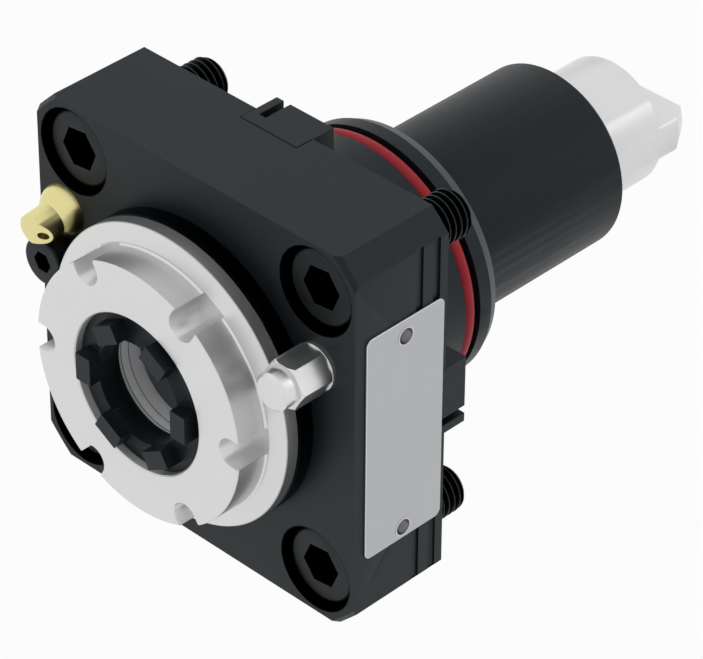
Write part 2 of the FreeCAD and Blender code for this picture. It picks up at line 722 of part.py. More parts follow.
def make_key_screw(angle, screw_x):
    """A key screw, head towards +Y, turned with its key about the spindle axis."""
    body = new_body("key_screw")
    shank = S.key_screw_thread / 2.0 - S.seat_gap
    top = S.key_reach - S.free_gap
    under = top - S.key_screw_head_height
    tip = under - S.key_screw_length
    head = cross_section(body, top)
    circle(head, screw_x, key_screw_height, S.key_screw_head / 2.0)
    pad(body, head, S.key_screw_head_height)
    stem = cross_section(body, under)
    circle(stem, screw_x, key_screw_height, shank)
    pad(body, stem, under - tip)
    socket = cross_section(body, top)
    hexagon(socket, screw_x, key_screw_height, S.key_screw_socket, 0.0)
    pocket(body, socket, S.key_screw_head_height * S.screw_socket, along_normal=True)
    place(body, 0.0, 0.0, 0.0, angle)
    return body


def make_set_screw(angle, side, slit_far):
    """A set screw in the tongue's thread, whose point presses on the slit's far wall."""
    body = new_body("key_set_screw")
    to_left = side > 0
    point = new_sketch(body, "YZ_Plane", slit_far)
    circle(point, S.set_screw_rise, set_screw_height, S.set_screw_thread / 2.0 - S.seat_gap)
    pad(body, point, set_screw_length, backwards=to_left)
    end = new_sketch(body, "YZ_Plane", slit_far - set_screw_length * side)
    hexagon(end, S.set_screw_rise, set_screw_height, S.set_screw_socket, 0.0)
    pocket(body, end, S.set_screw_socket_depth, along_normal=to_left)
    place(body, 0.0, 0.0, 0.0, angle)
    return body


def make_seal_rings():
    ring = doc.addObject("Part::Torus", "flange_seal_ring")
    half = S.seal_section / 2.0
    bind(ring, "Radius2", half)
    bind(ring, "Radius1", groove_floor + half + S.run_gap)
    turn = FreeCAD.Rotation(FreeCAD.Vector(1, 0, 0), 90)
    ring.Placement = FreeCAD.Placement(FreeCAD.Vector(0, 0, 0), turn)
    place(ring, 0.0, S.seal_groove_start + half + S.run_gap, 0.0)
    keep(ring, "flange_seal_ring")
    port = doc.addObject("Part::Torus", "coolant_port_ring")
    bind(port, "Radius2", S.port_ring_section / 2.0)
    bind(port, "Radius1", S.port_ring_radius)
    port.Placement = FreeCAD.Placement(FreeCAD.Vector(0, 0, 0), turn)
    place(port, S.nozzle_side, -S.port_ring_section / 2.0 + S.run_gap * 2.0, S.nozzle_height)
    keep(port, "coolant_port_ring")


# Front cover, its screws and the shaft seal
def make_cover():
    face = front - S.cover_thickness
    spigot = S.front_bearing_outside / 2.0
    inner = S.collar_radius + S.free_gap
    pocket_floor = bearings_front - S.shaft_seal_width
    cover = turned("front_cover", [
        (inner, face), (S.cover_radius - S.cover_chamfer, face),
        (S.cover_radius, face + S.cover_chamfer), (S.cover_radius, front), (spigot, front),
        (spigot, bearings_front), (S.shaft_seal_radius, bearings_front),
        (S.shaft_seal_radius, pocket_floor), (inner, pocket_floor)])
    heads = cross_section(cover, face)
    holes = cross_section(cover, face)
    for x, z in cover_screw_places():
        circle(heads, x, z, S.cover_screw_head / 2.0 + S.free_gap)
        circle(holes, x, z, S.cover_screw_thread / 2.0 + S.free_gap)
    pocket(cover, heads, S.cover_screw_head_height)
    pocket(cover, holes, S.cover_thickness)
    keep(cover)
    screws = []
    for x, z in cover_screw_places():
        screw = cap_screw("cover_screw", S.cover_screw_thread, S.cover_screw_length,
                          S.cover_screw_head, S.cover_screw_head_height,
                          S.cover_screw_socket, 0.0)
        place(screw, x, face, z)
        screws.append(screw)
    group("cover_screws", screws)
    outer = S.shaft_seal_radius - S.seat_gap
    wall = S.shaft_seal_wall
    slant = S.shaft_seal_slant
    lip = S.collar_radius + S.run_gap
    lip_outside = lip + S.shaft_seal_lip
    back = bearings_front - S.free_gap
    seal_front = pocket_floor + S.seat_gap
    keep(turned("shaft_seal", [
        (outer, seal_front), (outer, back), (outer - wall, back), (outer - wall, seal_front + wall),
        (lip_outside, seal_front + wall), (lip_outside, back - slant),
        (lip, back - wall), (lip + slant, seal_front)]))


# Ball bearings
def make_ball_bearing(name, start, width, bore, outside, ball):
    """Inner ring, outer ring, balls and cage of a bearing between the radii bore and outside."""
    middle = start + width / 2.0
    end = start + width
    pitch = (bore + outside) / 2.0
    groove_radius = ball / 2.0 + S.ball_gap
    depth = ball * S.race_depth
    inner_land = pitch - ball / 2.0 + depth
    outer_land = pitch + ball / 2.0 - depth
    reach = pitch - inner_land
    half = root(groove_radius * groove_radius - reach * reach)
    keep(turned(name + "_inner", [
        (bore, start), (inner_land, start), (inner_land, middle - half, groove_radius, False),
        (inner_land, middle + half), (inner_land, end), (bore, end)]))
    keep(turned(name + "_outer", [
        (outer_land, start), (outside, start), (outside, end), (outer_land, end),
        (outer_land, middle + half, groove_radius, False), (outer_land, middle - half)]))
    balls = new_body(name + "_balls")
    section = new_sketch(balls, "XY_Plane")
    radius = ball / 2.0
    outline(section, [
        (pitch, middle - radius, radius, True), (pitch + radius, middle, radius, True),
        (pitch, middle + radius)])
    sphere = balls.newObject("PartDesign::Revolution", name + "_ball")
    sphere.Profile = section
    sphere.ReferenceAxis = (section, ["Edge3"])
    sphere.Angle = 360.0
    around_axis(balls, [sphere], BALLS)
    keep(balls)
    cage = new_body(name + "_cage")
    thick = S.cage_wall / 2.0
    revolve(cage, [
        (pitch - thick, start + S.cage_margin), (pitch + thick, start + S.cage_margin),
        (pitch + thick, end - S.cage_margin), (pitch - thick, end - S.cage_margin)])
    window = new_sketch(cage, "YZ_Plane")
    circle(window, middle, 0.0, radius + S.ball_gap)
    hole = pocket(cage, window, pitch + S.cage_wall, along_normal=True)
    around_axis(cage, [hole], BALLS)
    keep(cage)


def make_bearings():
    bore = S.front_bearing_bore / 2.0 + S.seat_gap
    outside = S.front_bearing_outside / 2.0
    for number in (1, 2):
        start = bearings_front + S.front_bearing_width * (number - 1.0)
        make_ball_bearing("front_bearing_%d" % number, start, S.front_bearing_width,
                          bore, outside, S.front_ball)
    make_ball_bearing("rear_bearing", S.rear_bearing_start, S.rear_bearing_width,
                      bore, S.rear_bearing_outside / 2.0, S.rear_ball)
    keep(turned("bearing_spacer", [
        (bore, bearings_back), (S.spacer_radius, bearings_back),
        (S.spacer_radius, S.rear_bearing_start), (bore, S.rear_bearing_start)]))


def make_lock_nut():
    bore = S.front_bearing_bore / 2.0 + S.seat_gap
    start = S.rear_bearing_start + S.rear_bearing_width
    seat = start + S.lock_washer_thickness
    end = seat + S.lock_nut_width
    keep(turned("lock_washer", [
        (bore, start), (S.lock_nut_radius - S.lock_nut_slot_depth, start),
        (S.lock_nut_radius - S.lock_nut_slot_depth, seat), (bore, seat)]))
    nut = turned("lock_nut", [
        (bore, seat), (S.lock_nut_radius, seat), (S.lock_nut_radius, end), (bore, end)])
    face = cross_section(nut, seat)
    half = S.lock_nut_slot / 2.0
    floor = S.lock_nut_radius - S.lock_nut_slot_depth
    rectangle(face, -half, floor, half, S.lock_nut_radius + S.lock_nut_slot_depth)
    slot = pocket(nut, face, S.lock_nut_width)
    around_axis(nut, [slot], 4)
    keep(nut)


# Shank sleeve with the drawn-cup needle bearing in its end
def make_sleeve():
    start = S.rear_bearing_start + S.rear_bearing_width
    over_nut = start + S.lock_washer_thickness + S.lock_nut_width + S.free_gap
    mouth = S.shaft_radius + S.free_gap
    spigot = S.rear_bearing_outside / 2.0
    shell_end = S.sleeve_end - S.sleeve_lip
    keep(turned("shank_sleeve", [
        (S.sleeve_mouth, start), (spigot, start), (spigot, S.boss_length),
        (S.sleeve_radius, S.boss_length), (S.sleeve_radius, S.sleeve_end - S.sleeve_chamfer),
        (S.sleeve_radius - S.sleeve_chamfer, S.sleeve_end), (mouth, S.sleeve_end),
        (mouth, shell_end), (S.sleeve_bore, shell_end), (S.sleeve_bore, over_nut),
        (S.sleeve_mouth, over_nut)]))
    shell_start = shell_end - S.needle_shell_width
    shell_outer = S.sleeve_bore - S.seat_gap
    shell_inner = S.shaft_radius + S.ball_gap * 2.0 + S.needle_diameter
    rim = S.shaft_radius + S.free_gap
    keep(turned("needle_bearing_shell", [
        (rim, shell_start), (shell_outer, shell_start), (shell_outer, shell_end),
        (rim, shell_end), (rim, shell_end - S.needle_shell_lip),
        (shell_inner, shell_end - S.needle_shell_lip),
        (shell_inner, shell_start + S.needle_shell_lip),
        (rim, shell_start + S.needle_shell_lip)]))
    middle = shell_end - S.needle_shell_width / 2.0
    needle_length = S.needle_shell_width - S.needle_margin * 2.0
    pitch = S.shaft_radius + S.ball_gap + S.needle_diameter / 2.0
    needles = new_body("needle_rollers")
    end = cross_section(needles, middle - needle_length / 2.0)
    circle(end, pitch, 0.0, S.needle_diameter / 2.0)
    needle = pad(needles, end, needle_length, backwards=True)
    around_axis(needles, [needle], NEEDLES)
    keep(needles)
    cage = new_body("needle_cage")
    thick = S.needle_cage_wall / 2.0
    rim_width = S.needle_cage_rim
    half = needle_length / 2.0
    revolve(cage, [
        (pitch - thick, middle - half - rim_width), (pitch + thick, middle - half - rim_width),
        (pitch + thick, middle + half + rim_width), (pitch - thick, middle + half + rim_width)])
    window = new_sketch(cage, "YZ_Plane")
    side = S.needle_diameter / 2.0 + S.ball_gap
    rectangle(window, middle - half - S.ball_gap, -side, middle + half + S.ball_gap, side)
    hole = pocket(cage, window, pitch + S.needle_diameter, along_normal=True)
    around_axis(cage, [hole], NEEDLES)
    keep(cage)


# Spindle, turned in one piece with the nose, the drive shaft and the tang, and the stop ring
# at the bottom of its tool socket
def make_spindle():
    end = S.shaft_shoulder + S.tang_length
    nose = S.nose_radius - S.run_gap
    seat = S.front_bearing_bore / 2.0
    seat_end = (S.rear_bearing_start + S.rear_bearing_width + S.lock_washer_thickness
                + S.lock_nut_width)
    ring_seat = S.ring_radius + S.seat_gap
    point = S.draw_bore_end + S.draw_bore / tangent(S.drill_point)
    body = turned("spindle", [
        (ring_seat, -S.nose_front), (nose, -S.nose_front), (nose, -S.nose_back),
        (S.collar_radius, -S.nose_back), (S.collar_radius, bearings_front),
        (seat, bearings_front), (seat, seat_end), (S.shaft_radius, seat_end),
        (S.shaft_radius, end - S.tang_cone_length), (S.shaft_radius - S.tang_cone, end),
        (0.0, end), (0.0, point), (S.draw_bore, S.draw_bore_end),
        (S.draw_bore, stop_back), (socket_bore, stop_back),
        (socket_bore, S.socket_taper - S.ring_back),
        (S.socket_mouth, -S.ring_back), (ring_seat, -S.ring_back)])
    flats = cross_section(body, S.shaft_shoulder)
    half = S.tang_thickness / 2.0
    outside = S.shaft_radius + S.tang_cone
    edge = S.tang_edge
    chord = root(S.shaft_radius * S.shaft_radius - half * half)
    low = half - edge * 2.0
    for side in (1.0, -1.0):
        outline(flats, [
            (-outside, low * side), (-(chord + edge), low * side),
            (edge - chord, half * side), (chord - edge, half * side),
            (chord + edge, low * side), (outside, low * side),
            (outside, outside * side), (-outside, outside * side)])
    pocket(body, flats, S.tang_length)
    keep(body)
    outer = socket_bore - S.seat_gap
    keep(turned("stop_ring", [
        (S.stop_ring_bore, stop_face), (outer - S.stop_ring_edge, stop_face),
        (outer, stop_face + S.stop_ring_edge), (outer, stop_back),
        (S.stop_ring_bore, stop_back)]))


# Drive ring: a raised cone with six lugs that drive the tool adapter
def make_drive_ring():
    edge = S.ring_face + S.ring_rise
    undercut = S.ring_back + S.ring_undercut
    step = S.ring_wide - S.ring_bore
    ring = turned("drive_ring", [
        (S.ring_radius, -S.ring_face), (S.ring_radius, -S.ring_back),
        (S.ring_wide, -S.ring_back), (S.ring_wide, -undercut),
        (S.ring_bore, -(undercut + step)), (S.ring_bore, -edge),
        (S.ring_cone, -S.ring_face)])
    face = cross_section(ring, -(S.ring_face + S.lug_rise))
    half = S.lug_width / 2.0
    rectangle(face, S.lug_inner, -half, S.lug_outer, half)
    lug = pad(ring, face, S.lug_rise, backwards=True)
    around_axis(ring, [lug], LUGS)
    keep(ring)


# Clamping nut with the slip ring that rides inside it
def make_nut():
    top = -S.nut_front
    disc_back = top + S.nut_disc_thickness
    flange = -S.nut_flange_front
    back = -S.nut_back
    wall_back = -S.ring_face
    chamber = S.slip_ring_radius + S.slip_ring_gap * 2.0
    step = S.nut_disc_radius - S.nut_neck_radius
    bevel = S.nut_flange_chamfer
    body = turned("clamping_nut", [
        (S.nut_mouth, top), (S.nut_disc_radius - S.nut_disc_chamfer, top),
        (S.nut_disc_radius, top + S.nut_disc_chamfer),
        (S.nut_disc_radius, disc_back, step, False), (S.nut_neck_radius, disc_back + step),
        (S.nut_neck_radius, flange - S.nut_neck_round, S.nut_neck_round, False),
        (S.nut_neck_radius + S.nut_neck_round, flange),
        (S.nut_flange_radius - bevel, flange), (S.nut_flange_radius, flange + bevel),
        (S.nut_flange_radius, back), (S.nose_radius, back), (S.nose_radius, -S.nose_front),
        (chamber, -S.nose_front), (chamber, wall_back), (S.nut_mouth, wall_back)])
    face = cross_section(body, top)
    half = S.nut_slot_width / 2.0
    open_end = S.nut_disc_radius + half
    outline(face, [
        (S.nut_slot_centre, half, half, True), (S.nut_slot_centre - half, 0.0, half, True),
        (S.nut_slot_centre, -half), (open_end, -half), (open_end, half)])
    slot = pocket(body, face, S.nut_front - S.nut_flange_front)
    around_axis(body, [slot], NUT_SLOTS)
    keep(body)
    keep(turned("slip_ring", [
        (S.nut_mouth + S.run_gap, wall_back + S.slip_ring_gap),
        (S.slip_ring_radius, wall_back + S.slip_ring_gap),
        (S.slip_ring_radius, -S.nose_front - S.slip_ring_gap),
        (S.nut_mouth + S.run_gap, -S.nose_front - S.slip_ring_gap)]))


# Bare name plate and its two rivets
def make_plate():
    body = new_body("name_plate")
    high = S.plate_low + S.plate_length
    near = -S.plate_rear
    far = near - S.plate_width
    corner = S.plate_corner
    low = S.plate_low
    face = new_sketch(body, "YZ_Plane", half_block)
    outline(face, [
        (far + corner, low), (near - corner, low, corner, True), (near, low + corner),
        (near, high - corner, corner, True), (near - corner, high),
        (far + corner, high, corner, True), (far, high - corner),
        (far, low + corner, corner, True)])
    pad(body, face, S.plate_thickness)
    holes = new_sketch(body, "YZ_Plane", half_block + S.plate_thickness)
    for z in rivet_heights():
        circle(holes, rivet_line(), z, S.rivet_radius + S.seat_gap)
    pocket(body, holes, S.plate_thickness)
    keep(body)
    rivets = []
    depth, dish, rise = S.rivet_dish_depth, S.rivet_dish, S.rivet_rise
    hollow = (depth * depth + dish * dish) / (depth * 2.0)
    for z in rivet_heights():
        rivet = turned("plate_rivet", [
            (0.0, depth - rise, hollow, False), (dish, -rise), (S.rivet_rim, -rise),
            (S.rivet_rim, 0.0), (S.rivet_radius, 0.0), (S.rivet_radius, S.rivet_head),
            (S.rivet_shank, S.rivet_head), (S.rivet_shank, S.rivet_length),
            (0.0, S.rivet_length)])
        rivet.Placement = FreeCAD.Placement(
            FreeCAD.Vector(0, 0, 0), FreeCAD.Rotation(FreeCAD.Vector(0, 0, 1), 90))
        place(rivet, half_block + S.plate_thickness, rivet_line(), z)
        rivets.append(rivet)
    group("plate_rivets", rivets)


# Coolant nozzle: a ball with a slanted stub, held by the rim of the clamp screw's head
def make_nozzle():
    body = new_body("coolant_nozzle")
    ball = S.nozzle_ball
    neck = root(ball * ball - S.stub_radius * S.stub_radius)
    tail = root(ball * ball - S.coolant_bore * S.coolant_bore)
    tip = S.stub_length
    edge = S.stub_edge
    revolve(body, [
        (0.0, tail), (0.0, -tip), (S.stub_radius - edge, -tip), (S.stub_radius, edge - tip),
        (S.stub_radius, -neck, ball, True), (S.coolant_bore, tail)])
    inlet = cross_section(body, tail)
    circle(inlet, 0.0, 0.0, S.coolant_bore)
    pocket(body, inlet, tail + S.nozzle_bore_end, along_normal=True)
    slant = new_sketch(body, "XY_Plane", -S.stub_radius * 2.0)
    side = S.stub_radius * 2.0
    level = tip - (side - S.stub_cut_start) * tangent(S.stub_cut_angle)
    outline(slant, [(S.stub_cut_start, -tip), (side, -tip), (side, -level)])
    pocket(body, slant, S.stub_radius * 4.0, along_normal=True)
    depth = tip - (S.outlet_side - S.stub_cut_start) * tangent(S.stub_cut_angle)
    outlet = new_sketch(body, "XZ_Plane", depth)
    outlet.AttachmentOffset = FreeCAD.Placement(
        FreeCAD.Vector(0, 0, 0), FreeCAD.Rotation(FreeCAD.Vector(0, 1, 0), S.stub_cut_angle.value))
    bind(outlet, "AttachmentOffset.Base.x", S.outlet_side)
    circle(outlet, 0.0, 0.0, S.outlet_radius)
    pocket(body, outlet, S.stub_radius)
    tilt = FreeCAD.Rotation(FreeCAD.Vector(1, 0, 0), S.nozzle_tilt.value)
    turn = FreeCAD.Rotation(FreeCAD.Vector(0, 1, 0), S.stub_cut_turn.value)
    body.Placement = FreeCAD.Placement(FreeCAD.Vector(0, 0, 0), tilt.multiply(turn))
    place(body, S.nozzle_side, front + S.nozzle_set_back, S.nozzle_height)
    keep(body)
    screw = cap_screw("nozzle_clamp_screw", S.clamp_screw_thread, S.clamp_screw_length,
                      S.clamp_screw_head, S.clamp_screw_head_height, S.clamp_screw_socket, 0.0)
    place(screw, S.clamp_screw_side, front - S.clamp_screw_lift - S.clamp_screw_head_height,
          S.clamp_screw_height)
    keep(screw)


# Hexagon plug on the front face
def make_plug():
    body = new_body("hexagon_plug")
    collar_front = -S.plug_collar_length
    hexagon_front = collar_front - S.plug_hexagon_length
    nose_front = hexagon_front - S.plug_nose_length
    corner = S.plug_hexagon / math.sqrt(3.0)
    bevel = S.plug_bevel
    thread = S.plug_thread / 2.0 - S.seat_gap
    blank = cross_section(body, collar_front)
    hexagon(blank, 0.0, 0.0, S.plug_hexagon, 0.0)
    pad(body, blank, S.plug_hexagon_length)
    beyond = corner + bevel
    for end, towards in ((hexagon_front, 1.0), (collar_front, -1.0)):
        groove(body, [
            (corner - bevel, end), (beyond, end), (beyond, end + (beyond - corner + bevel) * towards)])
    revolve(body, [
        (0.0, collar_front), (S.plug_collar, collar_front), (S.plug_collar, 0.0), (thread, 0.0),
        (thread, S.plug_thread_length), (0.0, S.plug_thread_length)])
    revolve(body, [
        (0.0, nose_front), (S.plug_nose - bevel, nose_front), (S.plug_nose, nose_front + bevel),
        (S.plug_nose, hexagon_front), (0.0, hexagon_front)])
    place(body, plug_side, front, plug_height)
    keep(body)


def check_and_write():
    """Stops on a failed feature, an empty cut or a bad shape, and then writes every sub-part."""
    doc.recompute()
    for item in doc.Objects:
        if "Invalid" in item.State or "Error" in item.State:
            raise RuntimeError("failed: %s %s" % (item.Name, item.State))
    for feature, before in cuts:
        if not feature.Shape.Volume < before.Shape.Volume - 1e-6:
            raise RuntimeError("cuts nothing: " + feature.Name)
    os.makedirs("parts", exist_ok=True)
    for label, thing in pieces.items():
        shape = thing.Shape
        if shape.isNull() or not shape.isValid() or not shape.Solids:
            raise RuntimeError("bad shape: " + label)
    for label, thing in pieces.items():
        thing.Shape.exportStep("parts/%s.step" % label)
        print("%-24s %3d solids %10.1f mm3" % (label, len(thing.Shape.Solids), thing.Shape.Volume))


make_housing()
make_mounting_screws()
make_keys()
make_seal_rings()
make_cover()
make_bearings()
make_lock_nut()
make_sleeve()
make_spindle()
make_drive_ring()
make_nut()
make_plate()
make_nozzle()
make_plug()
check_and_write()
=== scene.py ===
import math

import bmesh
import bpy
import numpy as np
from mathutils import Matrix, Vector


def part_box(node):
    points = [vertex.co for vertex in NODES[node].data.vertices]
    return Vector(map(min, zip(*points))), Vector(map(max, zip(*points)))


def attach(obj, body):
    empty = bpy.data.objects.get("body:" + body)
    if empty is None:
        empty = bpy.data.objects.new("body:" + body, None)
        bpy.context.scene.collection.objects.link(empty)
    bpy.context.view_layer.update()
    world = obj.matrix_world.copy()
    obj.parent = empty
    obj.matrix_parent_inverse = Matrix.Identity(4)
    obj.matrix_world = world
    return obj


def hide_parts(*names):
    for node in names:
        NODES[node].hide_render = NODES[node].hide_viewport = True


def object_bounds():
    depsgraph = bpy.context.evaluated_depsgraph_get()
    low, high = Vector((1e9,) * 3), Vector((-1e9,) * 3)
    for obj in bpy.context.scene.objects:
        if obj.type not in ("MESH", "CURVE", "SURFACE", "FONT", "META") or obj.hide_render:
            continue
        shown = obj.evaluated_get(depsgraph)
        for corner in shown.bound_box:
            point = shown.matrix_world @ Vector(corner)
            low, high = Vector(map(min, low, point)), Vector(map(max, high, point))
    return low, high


# Looks of an axial driven tool holder: black oxide steel, turned bright steel, brass and a red
# seal ring. Everything is in metres in the part's own frame: the spindle axis is Y, the tool side
# is -Y, Z is up, and the rear face of the flange lies in y = 0.

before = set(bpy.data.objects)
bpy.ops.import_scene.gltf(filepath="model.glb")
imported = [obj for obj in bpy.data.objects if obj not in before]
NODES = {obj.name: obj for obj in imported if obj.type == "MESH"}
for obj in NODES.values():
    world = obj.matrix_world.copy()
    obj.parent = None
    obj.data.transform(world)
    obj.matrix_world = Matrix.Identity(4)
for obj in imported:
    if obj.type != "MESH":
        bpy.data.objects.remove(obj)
cad_low, cad_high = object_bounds()

MM = 0.001
NEAR = 0.01 * MM
SCREW_PLACE = 32.0 * MM


# Camera: the photograph's viewpoint, as angles round the object and a long lens
PHOTO_WIDTH = 703
SENSOR = 36.0
CAMERA_AZIMUTH = 44.217
CAMERA_ELEVATION = 35.938
CAMERA_ROLL = 0.392
CAMERA_DISTANCE = 792.01 * MM
CAMERA_RIGHT = 12.669 * MM
CAMERA_UP = -4.115 * MM
FOCAL_PIXELS = 4145.56
NEAREST = 0.01
FARTHEST = 50.0


def camera_axes(azimuth, elevation, roll):
    """Unit vectors to the camera's right, up and back for a view round the object, in degrees."""
    a, e, r = (math.radians(v) for v in (azimuth, elevation, roll))
    back = np.array([math.sin(a) * math.cos(e), -math.cos(a) * math.cos(e), math.sin(e)])
    level = np.array([math.cos(a), math.sin(a), 0.0])
    rise = np.cross(back, level)
    right = level * math.cos(r) + rise * math.sin(r)
    return right, np.cross(back, right), back


def in_scene(name, data):
    """A new object of the scene that holds the data."""
    made = bpy.data.objects.new(name, data)
    bpy.context.scene.collection.objects.link(made)
    return made


def stand(piece, axes, place):
    """Puts a camera or a lamp at a place. Its axes are its right, its up and its back."""
    rows = np.eye(4)
    rows[:3, :3] = np.stack(axes, axis=1)
    rows[:3, 3] = place
    piece.matrix_world = Matrix(rows.tolist())


def make_camera():
    """A camera at the photograph's viewpoint, which frames the holder as the photograph does."""
    axes = camera_axes(CAMERA_AZIMUTH, CAMERA_ELEVATION, CAMERA_ROLL)
    right, up, back = axes
    data = bpy.data.cameras.new("photo_camera")
    data.sensor_width = SENSOR
    data.lens = FOCAL_PIXELS * SENSOR / PHOTO_WIDTH
    data.clip_start, data.clip_end = NEAREST, FARTHEST
    camera = in_scene("photo_camera", data)
    stand(camera, axes, back * CAMERA_DISTANCE + right * CAMERA_RIGHT + up * CAMERA_UP)
    bpy.context.scene.camera = camera


# Shader maths: a socket that takes part in sums and products, and the finish that holds the nodes
class Wire:
    """A shader socket. Adding, subtracting, multiplying or dividing wires adds Math nodes."""

    def __init__(self, finish, socket):
        self.finish = finish
        self.socket = socket

    def maths(self, operation, *values):
        """The result of a Math node on wires and numbers."""
        return self.finish.node("ShaderNodeMath", {"operation": operation}, dict(enumerate(values)))

    def __add__(self, other):
        return self.maths("ADD", self, other)

    def __sub__(self, other):
        return self.maths("SUBTRACT", self, other)

    def __rsub__(self, other):
        return self.maths("SUBTRACT", other, self)

    def __mul__(self, other):
        return self.maths("MULTIPLY", self, other)

    def __truediv__(self, other):
        return self.maths("DIVIDE", self, other)

    def root(self):
        return self.maths("SQRT", self)

    def sine(self):
        return self.maths("SINE", self)

    def above(self, level):
        return self.maths("GREATER_THAN", self, level)

    def below(self, level):
        return self.maths("LESS_THAN", self, level)

    def between(self, low, high):
        return self.above(low) * self.below(high)

    def size(self):
        return self.maths("ABSOLUTE", self)

    def clamped(self, low, high):
        return self.maths("MINIMUM", self.maths("MAXIMUM", self, low), high)

    __radd__ = __add__
    __rmul__ = __mul__


class Nodes:
    """A node tree under construction."""

    def __init__(self, owner):
        owner.use_nodes = True
        self.tree = owner.node_tree

    def node(self, kind, settings=None, values=None, output=0):
        """The output of a new node, after its settings and the values or links of its sockets."""
        made = self.tree.nodes.new(kind)
        for name, value in (settings or {}).items():
            setattr(made, name, value)
        for socket, value in (values or {}).items():
            if isinstance(value, Wire):
                self.tree.links.new(value.socket, made.inputs[socket])
            else:
                made.inputs[socket].default_value = value
        return Wire(self, made.outputs[output])

    def white_rays(self, seen=1.0):
        """The share of white that rays get from the background: 1 for what metal mirrors."""
        kinds = ("Is Camera Ray", "Is Glossy Ray", "Is Transmission Ray")
        camera, glossy, passing = (self.node("ShaderNodeLightPath", output=kind) for kind in kinds)
        return (camera * seen + glossy + passing).clamped(0.0, 1.0)

    def finish_with(self, output, first, second, factor):
        """Ends the tree in a mix of two shaders."""
        mixed = self.node("ShaderNodeMixShader", None, {0: factor, 1: first, 2: second})
        self.tree.links.new(mixed.socket, self.tree.nodes[output].inputs["Surface"])


class Finish(Nodes):
    """A material under construction: one principled shader and the nodes that feed it."""

    def __init__(self, name, metallic, **fixed):
        self.material = bpy.data.materials.new(name)
        super().__init__(self.material)
        self.shader = self.tree.nodes["Principled BSDF"]
        self.shader.inputs["Metallic"].default_value = metallic
        for socket, value in fixed.items():
            self.shader.inputs[socket.replace("_", " ")].default_value = value

    def feed(self, socket, wire):
        """Links a wire to one of the shader's sockets."""
        self.tree.links.new(wire.socket, self.shader.inputs[socket])

    def place(self):
        """The place on the object."""
        return self.node("ShaderNodeTexCoord", output="Object")

    def axes(self):
        """The place on the object as three wires, in metres."""
        made = self.tree.nodes.new("ShaderNodeSeparateXYZ")
        self.tree.links.new(self.place().socket, made.inputs[0])
        return [Wire(self, out) for out in made.outputs]

    def off_line(self, centre_x, centre_z):
        """The distance from the nearest of the four lines along Y at plus or minus both centres."""
        x, _, z = self.axes()
        across, up = x.size() - centre_x, z.size() - centre_z
        return (across * across + up * up).root()

    def noise(self, scale, detail=4.0, stretch=(1.0, 1.0, 1.0), rough=0.5):
        """Noise from 0 to 1 with its grain drawn out by stretch; scale is in grains a metre."""
        spot = self.node("ShaderNodeMapping", None, {"Vector": self.place(), "Scale": stretch})
        return self.node("ShaderNodeTexNoise", None, {
            "Vector": spot, "Scale": scale, "Detail": detail, "Roughness": rough})

    def blend(self, factor, low, high):
        """A colour between low and high."""
        made = self.tree.nodes.new("ShaderNodeMix")
        made.data_type = "RGBA"
        for index, value in ((0, factor), (6, low), (7, high)):
            if isinstance(value, Wire):
                self.tree.links.new(value.socket, made.inputs[index])
            else:
                made.inputs[index].default_value = value if index == 0 else (*value, 1.0)
        return Wire(self, made.outputs[2])

    def bump(self, height, depth, strength=1.0):
        """Relief of the given depth in metres, from a height of 0 to 1."""
        self.feed("Normal", self.node("ShaderNodeBump", None, {
            "Height": height, "Distance": depth, "Strength": strength}))


# Tones of painted shade on black oxide, of a painted highlight on the boss's lead-in, and of the
# oxide's sheen
PAINTED_SHADE = (0.0012, 0.0014, 0.0016)
PAINTED_HIGHLIGHT = (0.045, 0.055, 0.060)
OXIDE_TINT = (0.82, 0.94, 1.0, 1.0)

# Where a finish changes, as a distance from an axis along Y or a place along Y, and to what
COUNTERBORE = 9.15 * MM
LEAD_IN = 28.2 * MM
COVER_EDGE = -27.65 * MM
SOCKET = 4.75 * MM
SOCKET_MOUTH = -22.3 * MM
CLAMP_PLACE = (36.6 * MM, 6.95 * MM)
CLAMP_SOCKET = 2.5 * MM
CLAMP_SOCKET_MOUTH = -28.8 * MM
THREAD_CREST = 4.9 * MM
DULL_MOUTH = 16.9 * MM
# Painted shade on the nut: the side and rim that get it, and its tone
DARK_SIDE = 27.2 * MM
DARK_SIDE_END = -32.3 * MM
DARK_RIM = 31.25 * MM
PAINTED_NUT_SHADE = (0.20, 0.205, 0.21)
TOOL_SOCKET = 12.4 * MM
TOOL_SOCKET_FLOOR = -27.3 * MM
TOOL_LINES = ((-30.2 * MM, -30.05 * MM), (-31.95 * MM, -31.8 * MM))
TOOL_SOCKET_TONES = ((0.80, 0.80, 0.81), (0.90, 0.90, 0.91))
GROOVE_SHADE_TONE = (0.05, 0.05, 0.05)
RIVET_INSET = 2.05 * MM
RIVET_DISH = 1.68 * MM
RIVET_SHADING = 3.3 * MM

# Turning marks
NUT_MARKS = 0.30 * MM
NUT_MARK_DEPTH = 0.0004 * MM
SPINDLE_MARKS = 0.25 * MM
SPINDLE_MARK_DEPTH = 0.0008 * MM


